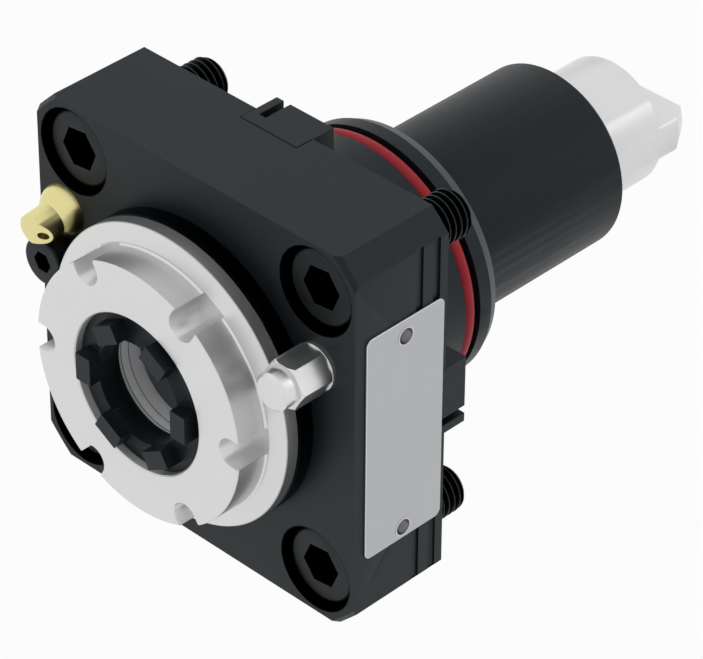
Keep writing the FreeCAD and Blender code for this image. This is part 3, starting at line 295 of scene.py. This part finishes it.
def black_oxide(name, dark, light, rough, shade_mask=None, ground=None, sheen=1.31):
    """Black oxide on ground steel: mottled a little, with faint grinding lines and a soft sheen.

    The first of the two masks marks painted shade, where the steel is near black and matt; the
    second marks a painted highlight, where the oxide is lighter.
    """
    finish = Finish(name, 0.0, IOR=sheen, Specular_Tint=OXIDE_TINT)
    cloud = finish.noise(60.0, 5.0)
    lines = finish.noise(900.0, 3.0, (1.0, 1.0, 0.05))
    speck = finish.noise(5200.0, 2.0)
    colour = finish.blend(cloud * 0.7 + speck * 0.3, dark, light)
    # Painted highlight: lighter oxide where the mask is 1, for the light the lead-in catches
    if ground:
        colour = finish.blend(ground(finish), colour, PAINTED_HIGHLIGHT)
    # Painted shade: where the mask is 1 the colour goes near black
    if shade_mask:
        inside = shade_mask(finish)
        colour = finish.blend(inside, colour, PAINTED_SHADE)
        finish.feed("Metallic", inside)
    finish.feed("Base Color", colour)
    finish.feed("Roughness", cloud * 0.10 + lines * 0.08 + (rough - 0.09))
    finish.bump(lines * 0.5 + speck * 0.5, 0.004 * MM)
    return finish.material


def counterbores(finish):
    """1 inside the four screws' counterbores, where shade is painted."""
    return finish.off_line(SCREW_PLACE, SCREW_PLACE).below(COUNTERBORE)


def boss_lead_in(finish):
    """1 on the lead-in at the end of the boss, where a highlight is painted."""
    return finish.axes()[1].above(LEAD_IN)


def cover_side(finish):
    """1 on the cover's side and edge, which stand in the shade of the nut."""
    return finish.axes()[1].above(COVER_EDGE)


def screw_sockets(finish):
    """1 inside the hexagon sockets of the mounting screws, where shade is painted."""
    near = finish.off_line(SCREW_PLACE, SCREW_PLACE).below(SOCKET)
    return near * finish.axes()[1].above(SOCKET_MOUTH)


def clamp_socket(finish):
    """1 inside the hexagon socket of the nozzle's clamp screw, where shade is painted."""
    near = finish.off_line(*CLAMP_PLACE).below(CLAMP_SOCKET)
    return near * finish.axes()[1].above(CLAMP_SOCKET_MOUTH)


def thread_roots(finish):
    """1 below the crests of the mounting screws' threads, where shade is painted in the roots."""
    return finish.off_line(SCREW_PLACE, SCREW_PLACE).below(THREAD_CREST)


def turning(along, pitch, wander):
    """Turning marks from 0 to 1: a sine of the way along over the pitch, which wanders a little."""
    return (along * (2.0 * math.pi / pitch) + wander * 6.0).sine() * 0.5 + 0.5


def nut_steel(name, colour, shade, rough):
    """The nut's turned steel: fine rings about the spindle axis, from the distance to that axis
    plus y, a duller mouth, and painted shade that makes the side and rim darker than the front."""
    finish = Finish(name, 1.0)
    x, y, z = finish.axes()
    radius = (x * x + z * z).root()
    wander = finish.noise(40.0, 3.0)
    rings = turning(radius + y, NUT_MARKS, wander)
    streak = finish.noise(700.0, 3.0)
    turned = finish.blend(wander * 0.6 + streak * 0.4, shade, colour)
    # Painted shade: the side and rim are blended towards a dark tone
    side = radius.above(DARK_SIDE) * y.below(DARK_SIDE_END)
    rim = radius.above(DARK_RIM)
    finish.feed("Base Color", finish.blend(side * 0.35 + rim * 0.65, turned, PAINTED_NUT_SHADE))
    finish.feed("Metallic", 0.75 - radius.below(DULL_MOUTH) * 0.35)
    finish.feed("Roughness", streak * 0.08 + wander * 0.05 + (rough - 0.065))
    finish.bump(rings, NUT_MARK_DEPTH)
    return finish.material


def spindle_steel(name, colour, shade, rough):
    """The spindle's turned steel, with a duller ground tool socket and two lines of painted shade
    in it that stand for grooves.
    """
    finish = Finish(name, 1.0)
    x, y, z = finish.axes()
    radius = (x * x + z * z).root()
    socket = y.below(TOOL_SOCKET_FLOOR) * radius.below(TOOL_SOCKET)
    lines = y.between(*TOOL_LINES[0]) + y.between(*TOOL_LINES[1])
    wander = finish.noise(40.0, 3.0)
    streak = finish.noise(700.0, 3.0)
    turned = finish.blend(wander * 0.6 + streak * 0.4, shade, colour)
    ground = finish.blend(streak, *TOOL_SOCKET_TONES)
    # Painted shade: two dark lines in the socket that stand for grooves
    lined = finish.blend(lines.clamped(0.0, 1.0), ground, GROOVE_SHADE_TONE)
    finish.feed("Base Color", finish.blend(socket, turned, lined))
    finish.feed("Metallic", 0.45 - socket * 0.25)
    finish.feed("Roughness", streak * 0.08 + wander * 0.05 + socket * 0.25 + (rough - 0.06))
    finish.bump(turning(y, SPINDLE_MARKS, wander), SPINDLE_MARK_DEPTH)
    return finish.material


def rivet_metal(name, rim, dish_shade_tones):
    """Rivets: plate-grey rims round dished heads with painted shade, near black and lighter towards
    the rear.
    """
    low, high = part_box("plate_rivets")
    middle, half = (low.z + high.z) / 2.0, (high.z - low.z) / 2.0 - RIVET_INSET
    line = (low.y + high.y) / 2.0
    finish = Finish(name, 0.7)
    x, y, z = finish.axes()
    up, along = (z - middle).size() - half, y - line
    off = (up * up + along * along).root()
    grain = finish.noise(2600.0, 2.0)
    edge = finish.blend(grain, rim, tuple(value * 1.08 for value in rim))
    # Painted shade in the dish, dark at the front and lighter towards the rear
    painted_dish_shade = finish.blend((along / RIVET_SHADING + 0.5).clamped(0.0, 1.0), *dish_shade_tones)
    finish.feed("Base Color", finish.blend(off.below(RIVET_DISH), edge, painted_dish_shade))
    finish.feed("Roughness", grain * 0.1 + 0.26)
    finish.bump(grain, 0.0012 * MM)
    return finish.material


def milled_steel(name, colour, shade, rough):
    """Bright steel with no turning marks: a fine cloudy satin."""
    finish = Finish(name, 1.0)
    cloud = finish.noise(150.0, 4.0)
    grain = finish.noise(2600.0, 2.0)
    finish.feed("Base Color", finish.blend(cloud * 0.5 + grain * 0.5, shade, colour))
    finish.feed("Roughness", grain * 0.10 + cloud * 0.06 + (rough - 0.08))
    finish.bump(grain, 0.0004 * MM)
    return finish.material


def rubber(name, dark, light, rough):
    """Moulded rubber: slightly mottled, with a dull skin."""
    finish = Finish(name, 0.0, IOR=1.33)
    cloud = finish.noise(300.0, 4.0)
    grain = finish.noise(6000.0, 2.0)
    finish.feed("Base Color", finish.blend(cloud, dark, light))
    finish.feed("Roughness", grain * 0.12 + (rough - 0.06))
    finish.bump(grain, 0.006 * MM)
    return finish.material


def brushed_plate(name, colour, shade, rough):
    """Anodised plate: fine upright brushing lines in a matt grey."""
    finish = Finish(name, 0.55)
    lines = finish.noise(3200.0, 4.0, (1.0, 1.0, 0.02))
    cloud = finish.noise(45.0, 3.0)
    finish.feed("Base Color", finish.blend(lines * 0.6 + cloud * 0.4, shade, colour))
    finish.feed("Roughness", lines * 0.12 + (rough - 0.06))
    finish.bump(lines, 0.0012 * MM)
    return finish.material


def make_finishes():
    """Every finish by its name."""
    black = ((0.0050, 0.0072, 0.0090), (0.0080, 0.0105, 0.0125))
    screw = ((0.0040, 0.0054, 0.0064), (0.0062, 0.0078, 0.0090))
    return {
        "housing_black": black_oxide("housing_black", *black, 0.44, counterbores, boss_lead_in),
        "cover_black": black_oxide("cover_black", *black, 0.44, cover_side),
        "mounting_screw": black_oxide("mounting_screw", *screw, 0.40, screw_sockets),
        "clamp_screw": black_oxide("clamp_screw", *screw, 0.40, clamp_socket),
        "thread_black": black_oxide("thread_black", *screw, 0.30, thread_roots),
        # Painted light: the stop ring's oxide is lighter than the rest, to make up for the shade
        # deep in the bore
        "stop_painted_light": black_oxide(
            "stop_painted_light", (0.060, 0.068, 0.074), (0.075, 0.083, 0.090), 0.6),
        # The rivets' dish tones are painted shade
        "rivet_metal": rivet_metal(
            "rivet_metal", (0.52, 0.53, 0.54), ((0.012, 0.012, 0.013), (0.22, 0.22, 0.23))),
        "spindle_steel": spindle_steel(
            "spindle_steel", (0.755, 0.755, 0.755), (0.705, 0.705, 0.705), 0.32),
        "black_steel": black_oxide("black_steel", *black, 0.44),
        "sleeve_black": black_oxide("sleeve_black", *black, 0.46, sheen=1.25),
        # Painted highlight: lighter oxide on the drive ring's broken edges, as edges catching the
        # light
        "edge_highlight_black": black_oxide(
            "edge_highlight_black", (0.0120, 0.0150, 0.0175), (0.0190, 0.0225, 0.0250), 0.38),
        "screw_steel": black_oxide("screw_steel", *screw, 0.38),
        "bright_steel": nut_steel(
            "bright_steel", (0.725, 0.730, 0.725), (0.685, 0.690, 0.685), 0.30),
        "plain_steel": milled_steel(
            "plain_steel", (0.73, 0.735, 0.73), (0.68, 0.685, 0.68), 0.33),
        "bearing_steel": milled_steel(
            "bearing_steel", (0.78, 0.79, 0.81), (0.70, 0.71, 0.73), 0.16),
        "cage_brass": milled_steel("cage_brass", (0.76, 0.58, 0.27), (0.66, 0.49, 0.21), 0.35),
        "nozzle_brass": milled_steel(
            "nozzle_brass", (0.80, 0.73, 0.36), (0.72, 0.64, 0.28), 0.30),
        "red_rubber": rubber("red_rubber", (0.27, 0.009, 0.016), (0.34, 0.013, 0.022), 0.50),
        "black_rubber": rubber(
            "black_rubber", (0.010, 0.010, 0.010), (0.018, 0.018, 0.018), 0.5),
        "plate_aluminium": brushed_plate(
            "plate_aluminium", (0.51, 0.52, 0.53), (0.45, 0.46, 0.47), 0.46),
    }


def paint(piece, *materials):
    """Gives the piece these materials alone."""
    piece.data.materials.clear()
    for material in materials:
        piece.data.materials.append(material)


def riding(mesh, body, slot, *materials):
    """A piece that shows the mesh, goes by its name, and moves with the body."""
    piece = in_scene(mesh.name, mesh)
    paint(piece, *materials)
    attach(piece, body)
    return piece


# Pieces made from the part's own surfaces, with their sharp edges broken as on the real ones
SAME_PLACE = 0.001 * MM
FLAT_DEGREES = 0.2
EDGE_DEGREES = 35.0
SHADE_DEGREES = 30.0


def merged_mesh(node, keep=None):
    """The node's surface as a closed mesh: its loose triangles merged and its flats joined up."""
    form = bmesh.new()
    form.from_mesh(NODES[node].data)
    bmesh.ops.remove_doubles(form, verts=form.verts, dist=SAME_PLACE)
    if keep:
        lost = [face for face in form.faces if not all(keep(v.co) for v in face.verts)]
        bmesh.ops.delete(form, geom=lost, context="FACES")
        loose = [v for v in form.verts if not v.link_faces]
        bmesh.ops.delete(form, geom=loose, context="VERTS")
        bmesh.ops.holes_fill(form, edges=[e for e in form.edges if e.is_boundary], sides=0)
    bmesh.ops.dissolve_limit(form, angle_limit=math.radians(FLAT_DEGREES), verts=form.verts[:],
                             edges=form.edges[:], use_dissolve_boundaries=False)
    mesh = bpy.data.meshes.new(node + "_dressed")
    form.to_mesh(mesh)
    form.free()
    return mesh


def smooth(mesh, sharp_degrees=SHADE_DEGREES):
    """Smooth shading, broken along edges sharper than the angle."""
    mesh.polygons.foreach_set("use_smooth", np.ones(len(mesh.polygons), bool))
    mesh.set_sharp_from_angle(angle=math.radians(sharp_degrees))


def dressed(node, slot, body, finish, edge_finish, break_mm, keep=None):
    """A copy of the node with broken edges, which then stands for it."""
    mesh = merged_mesh(node, keep)
    smooth(mesh)
    piece = riding(mesh, body, slot, finish, edge_finish)
    bevel = piece.modifiers.new("edge_break", "BEVEL")
    bevel.width = break_mm * MM
    bevel.segments = 2
    bevel.limit_method = "ANGLE"
    bevel.angle_limit = math.radians(EDGE_DEGREES)
    bevel.use_clamp_overlap = True
    bevel.harden_normals = True
    bevel.material = 1
    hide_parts(node)
    return piece


def grid_mesh(name, points, ring=False):
    """A mesh from a grid of points whose columns close round. The first and last row are capped,
    or joined to each other where the grid is a ring."""
    rows, columns = points.shape[:2]
    index = np.arange(rows * columns).reshape(rows, columns)
    right = np.roll(index, -1, axis=1)
    next_index, next_right = (np.roll(part, -1, axis=0) for part in (index, right))
    quads = np.stack([index, right, next_right, next_index], axis=-1)
    faces = (quads if ring else quads[:-1]).reshape(-1, 4).tolist()
    if not ring:
        faces += [index[0, ::-1].tolist(), index[-1].tolist()]
    mesh = bpy.data.meshes.new(name)
    mesh.from_pydata(points.reshape(-1, 3).tolist(), [], faces)
    mesh.validate()
    return mesh


# The mounting screws: head and thread, the thread's rows a pitch and points round it, and the
# shares of the pitch that its depth and half its groove take
HEAD_LENGTH = 10.0 * MM
THREAD_RADIUS = 5.0 * MM
THREAD_PITCH = 1.5 * MM
THREAD_ROWS = 14
THREAD_POINTS = 56
THREAD_DEPTH = 0.61
HALF_GROOVE = 0.44
TIP_SLOPE = 1.1
THREAD_SHARP = 50.0


def screw_thread(name, x, z, start, end, radius, pitch):
    """A threaded rod along Y. The radius at a place is the crest's, less the thread's depth times
    a wave of y over pitch minus the turn round the axis, and it narrows to the root at the tip."""
    depth = THREAD_DEPTH * pitch
    steps = int((end - start) / pitch * THREAD_ROWS)
    y = np.linspace(start, end, steps)[:, None]
    turn = np.linspace(0.0, 2.0 * math.pi, THREAD_POINTS, endpoint=False)[None, :]
    phase = (y / pitch - turn / (2.0 * math.pi)) % 1.0
    valley = np.clip(1.0 - np.abs(phase - 0.5) / HALF_GROOVE, 0.0, 1.0)
    tip = np.clip((end - y) / (TIP_SLOPE * depth), 0.0, 1.0)
    crest = radius - depth * (1.0 - tip)
    reach = np.minimum(radius - depth * valley, crest)
    points = np.stack([x + reach * np.cos(turn), y + 0.0 * turn, z + reach * np.sin(turn)], -1)
    return grid_mesh(name, points[:, ::-1])


# The nut's sizes in millimetres: radii, and places along Y for its fronts, backs and edges
NUT_SLOTS = 6
SLOT_HALF = 3.0
SLOT_EDGE = 0.1
SLOT_CENTRE = 25.3
NUT_FRONT = -39.1
NUT_MOUTH = 16.7
MOUTH_EDGE = 0.25
MOUTH_BACK = -37.3
NUT_SIDE = 27.3
SIDE_EDGE = 0.35
FILLET = 0.5
FLANGE_FRONT = -31.82
CONE_FOOT = 27.9
NUT_RIM = 31.42
RIM_FRONT = -30.48
RIM_BACK = -27.81
RIM_EDGE = 0.12
BACK_RECESS = 29.6
INNER_BACK = -28.5
THREAD_BORE = 20.0
THREAD_FRONT = -36.0
RELIEF_BORE = 20.6
NUT_SHARP = 17.0
ROUND_END = np.linspace(0.0, math.pi, 17)
ARC = np.linspace(0.0, 1.0, 25)
QUARTER = np.linspace(0.0, math.pi / 2.0, 7)
# A plain circle's points keep this share of the slot's width and this far from its edges
SLOT_SHARE = 0.985
EDGE_TURN = math.radians(0.6)


def round_the_nut(along, across, edge, radius):
    """One row of the nut: a slot's points, along and across its middle line, then the arc from
    that slot's edge angle to the next slot's, and all of it six times round."""
    step = 2.0 * math.pi / NUT_SLOTS
    arc = edge + ARC * (step - 2.0 * edge)
    part = np.concatenate([along + 1j * across, radius * np.exp(1j * arc)])
    turns = np.exp(1j * step * np.arange(NUT_SLOTS))
    return (turns[:, None] * part[None, :]).ravel()


def slotted_row(radius, half):
    """A circle with slots: in at half a width from the middle line, round the end and out again."""
    along = SLOT_CENTRE - half * np.sin(ROUND_END)
    return round_the_nut(along, -half * np.cos(ROUND_END), math.asin(half / radius), radius)


def plain_row(radius, source):
    """A plain circle whose points lie on the same rays as those of a circle of source's radius,
    each as far from the slot's middle line there as the slot's own point."""
    across = -SLOT_SHARE * SLOT_HALF * np.cos(ROUND_END)
    ray = np.arcsin(across / source)
    edge = math.asin(SLOT_HALF / source) + EDGE_TURN
    return round_the_nut(radius * np.cos(ray), radius * np.sin(ray), edge, radius)


def make_clamping_nut(finishes):
    """The nut as one closed grid: from the mouth over the front face, down the slotted side, round
    a small fillet of quarter circle form, over the flange's flat cone and its rim, and back
    through the inside. The cone rises by 0.36 of the radius gained."""
    rows = [(plain_row(NUT_MOUTH + MOUTH_EDGE, NUT_MOUTH), NUT_FRONT),
            (slotted_row(NUT_SIDE - SIDE_EDGE, SLOT_HALF + SLOT_EDGE), NUT_FRONT),
            (slotted_row(NUT_SIDE, SLOT_HALF), NUT_FRONT + SIDE_EDGE)]
    rows += [(slotted_row(NUT_SIDE + FILLET * (1.0 - math.cos(q)), SLOT_HALF),
              FLANGE_FRONT - FILLET * (1.0 - math.sin(q))) for q in QUARTER]
    outside = [(CONE_FOOT, FLANGE_FRONT), (NUT_RIM - RIM_EDGE, RIM_FRONT - RIM_EDGE),
               (NUT_RIM, RIM_FRONT), (NUT_RIM, RIM_BACK - RIM_EDGE),
               (NUT_RIM - RIM_EDGE, RIM_BACK), (BACK_RECESS, RIM_BACK), (BACK_RECESS, INNER_BACK)]
    inside = [(THREAD_BORE, INNER_BACK), (THREAD_BORE, THREAD_FRONT),
              (RELIEF_BORE, THREAD_FRONT), (RELIEF_BORE, MOUTH_BACK),
              (NUT_MOUTH, MOUTH_BACK), (NUT_MOUTH, NUT_FRONT + MOUTH_EDGE)]
    rows += [(plain_row(radius, CONE_FOOT), y) for radius, y in outside]
    rows += [(plain_row(radius, NUT_MOUTH), y) for radius, y in inside]
    flat = np.array([row for row, _ in rows])
    level = np.array([y for _, y in rows])[:, None] + 0.0 * flat.real
    points = np.stack([flat.real, level, flat.imag], -1) * MM
    mesh = grid_mesh("clamping_nut_turned", points[:, ::-1], ring=True)
    smooth(mesh, NUT_SHARP)
    piece = riding(mesh, "clamping_nut", "bright_steel", finishes["bright_steel"])
    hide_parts("clamping_nut")


# The nozzle in millimetres and degrees: its ball in the part and in full, the ball's centre, the
# tilt of the stub's axis from Y, and the stub's radius where it leaves the ball
BALL = 5.1
FULL_BALL = 5.6
BALL_CENTRE = (-35.4, -22.9, 17.35)
BALL_TILT = 8.0
STUB = 3.5


def fill_out_ball(piece):
    """Brings the nozzle's ball to its full size. A point on the ball keeps its direction round the
    stub's axis and goes out to the new radius. Its angle from the stub shrinks by the share that
    keeps the edge between ball and stub on the stub's side."""
    mesh = piece.data
    flat = np.empty(len(mesh.vertices) * 3)
    mesh.vertices.foreach_get("co", flat)
    points = flat.reshape(-1, 3)
    tilt = math.radians(BALL_TILT)
    axis = np.array([0.0, -math.cos(tilt), -math.sin(tilt)])
    out = points - np.array(BALL_CENTRE) * MM
    reach = np.linalg.norm(out, axis=1)
    along = out @ axis
    aside = out - along[:, None] * axis
    width = np.maximum(np.linalg.norm(aside, axis=1), 1e-9)
    share = (math.pi - math.asin(STUB / FULL_BALL)) / (math.pi - math.asin(STUB / BALL))
    angle = math.pi - (math.pi - np.arctan2(width, along)) * share
    ball = axis * np.cos(angle)[:, None] + aside / width[:, None] * np.sin(angle)[:, None]
    moved = np.array(BALL_CENTRE) * MM + ball * FULL_BALL * MM
    on_ball = np.abs(reach - BALL * MM) < NEAR
    mesh.vertices.foreach_set("co", np.where(on_ball[:, None], moved, points).ravel())
    mesh.update()


def make_mounting_screws(finishes):
    """Screw heads from the part, and the threaded ends that stand out behind the flange."""
    low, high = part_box("mounting_screws")
    head_back = low.y + HEAD_LENGTH
    dressed("mounting_screws", "screw_steel", "holder", finishes["mounting_screw"],
            finishes["mounting_screw"], 0.12, keep=lambda co: co.y < head_back + NEAR)
    for side, x in (("right", SCREW_PLACE), ("left", -SCREW_PLACE)):
        for level, z in (("upper", SCREW_PLACE), ("lower", -SCREW_PLACE)):
            mesh = screw_thread("mounting_thread_%s_%s" % (level, side), x, z, head_back, high.y,
                                THREAD_RADIUS, THREAD_PITCH)
            smooth(mesh, THREAD_SHARP)
            riding(mesh, "holder", "screw_steel", finishes["thread_black"])


DRESSED = (
    # node, slot, body, finish, finish of the broken edges, edge break in millimetres
    ("housing", "black_steel", "holder", "housing_black", "housing_black", 0.25),
    ("front_cover", "black_steel", "holder", "cover_black", "cover_black", 0.12),
    ("shank_sleeve", "black_steel", "holder", "sleeve_black", "sleeve_black", 0.2),
    ("key_top", "black_steel", "holder", "black_steel", "black_steel", 0.2),
    ("key_right", "black_steel", "holder", "black_steel", "black_steel", 0.2),
    ("key_bottom", "black_steel", "holder", "black_steel", "black_steel", 0.2),
    ("key_left", "black_steel", "holder", "black_steel", "black_steel", 0.2),
    ("nozzle_clamp_screw", "screw_steel", "holder", "clamp_screw", "clamp_screw", 0.12),
    ("name_plate", "plate_aluminium", "holder", "plate_aluminium", "plain_steel", 0.12),
    ("plate_rivets", "bright_steel", "holder", "rivet_metal", "rivet_metal", 0.04),
    ("hexagon_plug", "bright_steel", "holder", "plain_steel", "plain_steel", 0.12),
    ("coolant_nozzle", "nozzle_brass", "coolant_nozzle", "nozzle_brass", "nozzle_brass", 0.12),
    ("drive_ring", "black_steel", "spindle", "black_steel", "edge_highlight_black", 0.15),
    ("spindle", "bright_steel", "spindle", "spindle_steel", "spindle_steel", 0.2),
)
KEPT = {
    "stop_painted_light": ("stop_ring",),
    "screw_steel": ("cover_screws", "key_screws", "key_set_screws", "lock_nut"),
    "red_rubber": ("flange_seal_ring",),
    "black_rubber": ("coolant_port_ring", "shaft_seal"),
    "plain_steel": ("slip_ring", "bearing_spacer", "lock_washer"),
    "bearing_steel": (
        "front_bearing_1_inner", "front_bearing_1_outer", "front_bearing_1_balls",
        "front_bearing_2_inner", "front_bearing_2_outer", "front_bearing_2_balls",
        "rear_bearing_inner", "rear_bearing_outer", "rear_bearing_balls",
        "needle_bearing_shell", "needle_rollers", "needle_cage"),
    "cage_brass": ("front_bearing_1_cage", "front_bearing_2_cage", "rear_bearing_cage"),
}


def make_pieces(finishes):
    """Every piece that stands for a node, and the finishes of the nodes that are kept."""
    pieces = {}
    for node, slot, body, finish, edge, width in DRESSED:
        pieces[node] = dressed(node, slot, body, finishes[finish], finishes[edge], width)
    fill_out_ball(pieces["coolant_nozzle"])
    make_clamping_nut(finishes)
    make_mounting_screws(finishes)
    for finish, nodes in KEPT.items():
        for node in nodes:
            paint(NODES[node], finishes[finish])


# Stage: a pale floor below the holder, which is white to the camera, and soft light
FLOOR_DROP = 140.0 * MM
FLOOR_HALF = 4.0
FLOOR_SEEN = 0.88
FLOOR_TONES = ((0.86, 0.86, 0.86), (0.90, 0.90, 0.90))
WHITE = (1.0, 1.0, 1.0, 1.0)


def make_floor():
    """A square floor. The camera sees it white by the share FLOOR_SEEN and lit by the rest, which
    keeps the object's shadow."""
    mesh = bpy.data.meshes.new("floor")
    level = cad_low.z - FLOOR_DROP
    corners = [(x * FLOOR_HALF, y * FLOOR_HALF, level)
               for x, y in ((-1, -1), (1, -1), (1, 1), (-1, 1))]
    mesh.from_pydata(corners, [], [(0, 1, 2, 3)])
    floor = in_scene("floor", mesh)
    finish = Finish("pale_floor", 0.0, Roughness=0.9)
    finish.feed("Base Color", finish.blend(finish.noise(3.0, 2.0), *FLOOR_TONES))
    white = finish.node("ShaderNodeEmission", None, {"Color": WHITE})
    lit = Wire(finish, finish.shader.outputs[0])
    finish.finish_with("Material Output", lit, white, finish.white_rays(FLOOR_SEEN))
    floor.data.materials.append(finish.material)


SKY_LEVEL = 0.66
SKY_SLOPE = (-0.16, -0.06, 0.16)


def make_world():
    """A soft sky, its level plus its slope times the direction, that is white where it is seen."""
    world = bpy.data.worlds.new("soft_sky")
    bpy.context.scene.world = world
    sky = Nodes(world)
    sky.tree.nodes.clear()
    sky.tree.nodes.new("ShaderNodeOutputWorld").name = "World Output"
    direction = sky.node("ShaderNodeTexCoord", output="Generated")
    slope = sky.node("ShaderNodeVectorMath", {"operation": "DOT_PRODUCT"},
                     {0: direction, 1: SKY_SLOPE}, "Value")
    light = sky.node("ShaderNodeBackground", None, {"Color": slope + SKY_LEVEL})
    white = sky.node("ShaderNodeBackground", None, {"Color": WHITE})
    sky.finish_with("World Output", light, white, sky.white_rays())


LAMPS = (
    # name, azimuth and elevation in degrees, distance and size in metres, watts, seen in metal
    ("key_lamp", -25.0, 55.0, 0.9, 0.7, 0.8, False),
    ("back_lamp", 150.0, 40.0, 1.0, 0.5, 0.8, False),
    ("shaft_lamp", 133.0, 31.0, 1.0, 0.45, 0.55, True),
)


def make_lamp(name, azimuth, elevation, distance, size, power, mirrored):
    """A square soft lamp that looks at the origin from the given direction. Where it isn't
    mirrored, metal shows only the sky, so that the lamp makes no sharp streak on it."""
    axes = camera_axes(azimuth, elevation, 0.0)
    data = bpy.data.lights.new(name, "AREA")
    data.shape = "SQUARE"
    data.size = size
    data.energy = power
    lamp = in_scene(name, data)
    stand(lamp, axes, axes[2] * distance)
    lamp.visible_glossy = mirrored


def make_stage():
    """Floor, sky and lamps."""
    make_floor()
    make_world()
    for lamp in LAMPS:
        make_lamp(*lamp)


bpy.context.scene.view_settings.view_transform = "Standard"
make_camera()
make_stage()
make_pieces(make_finishes())
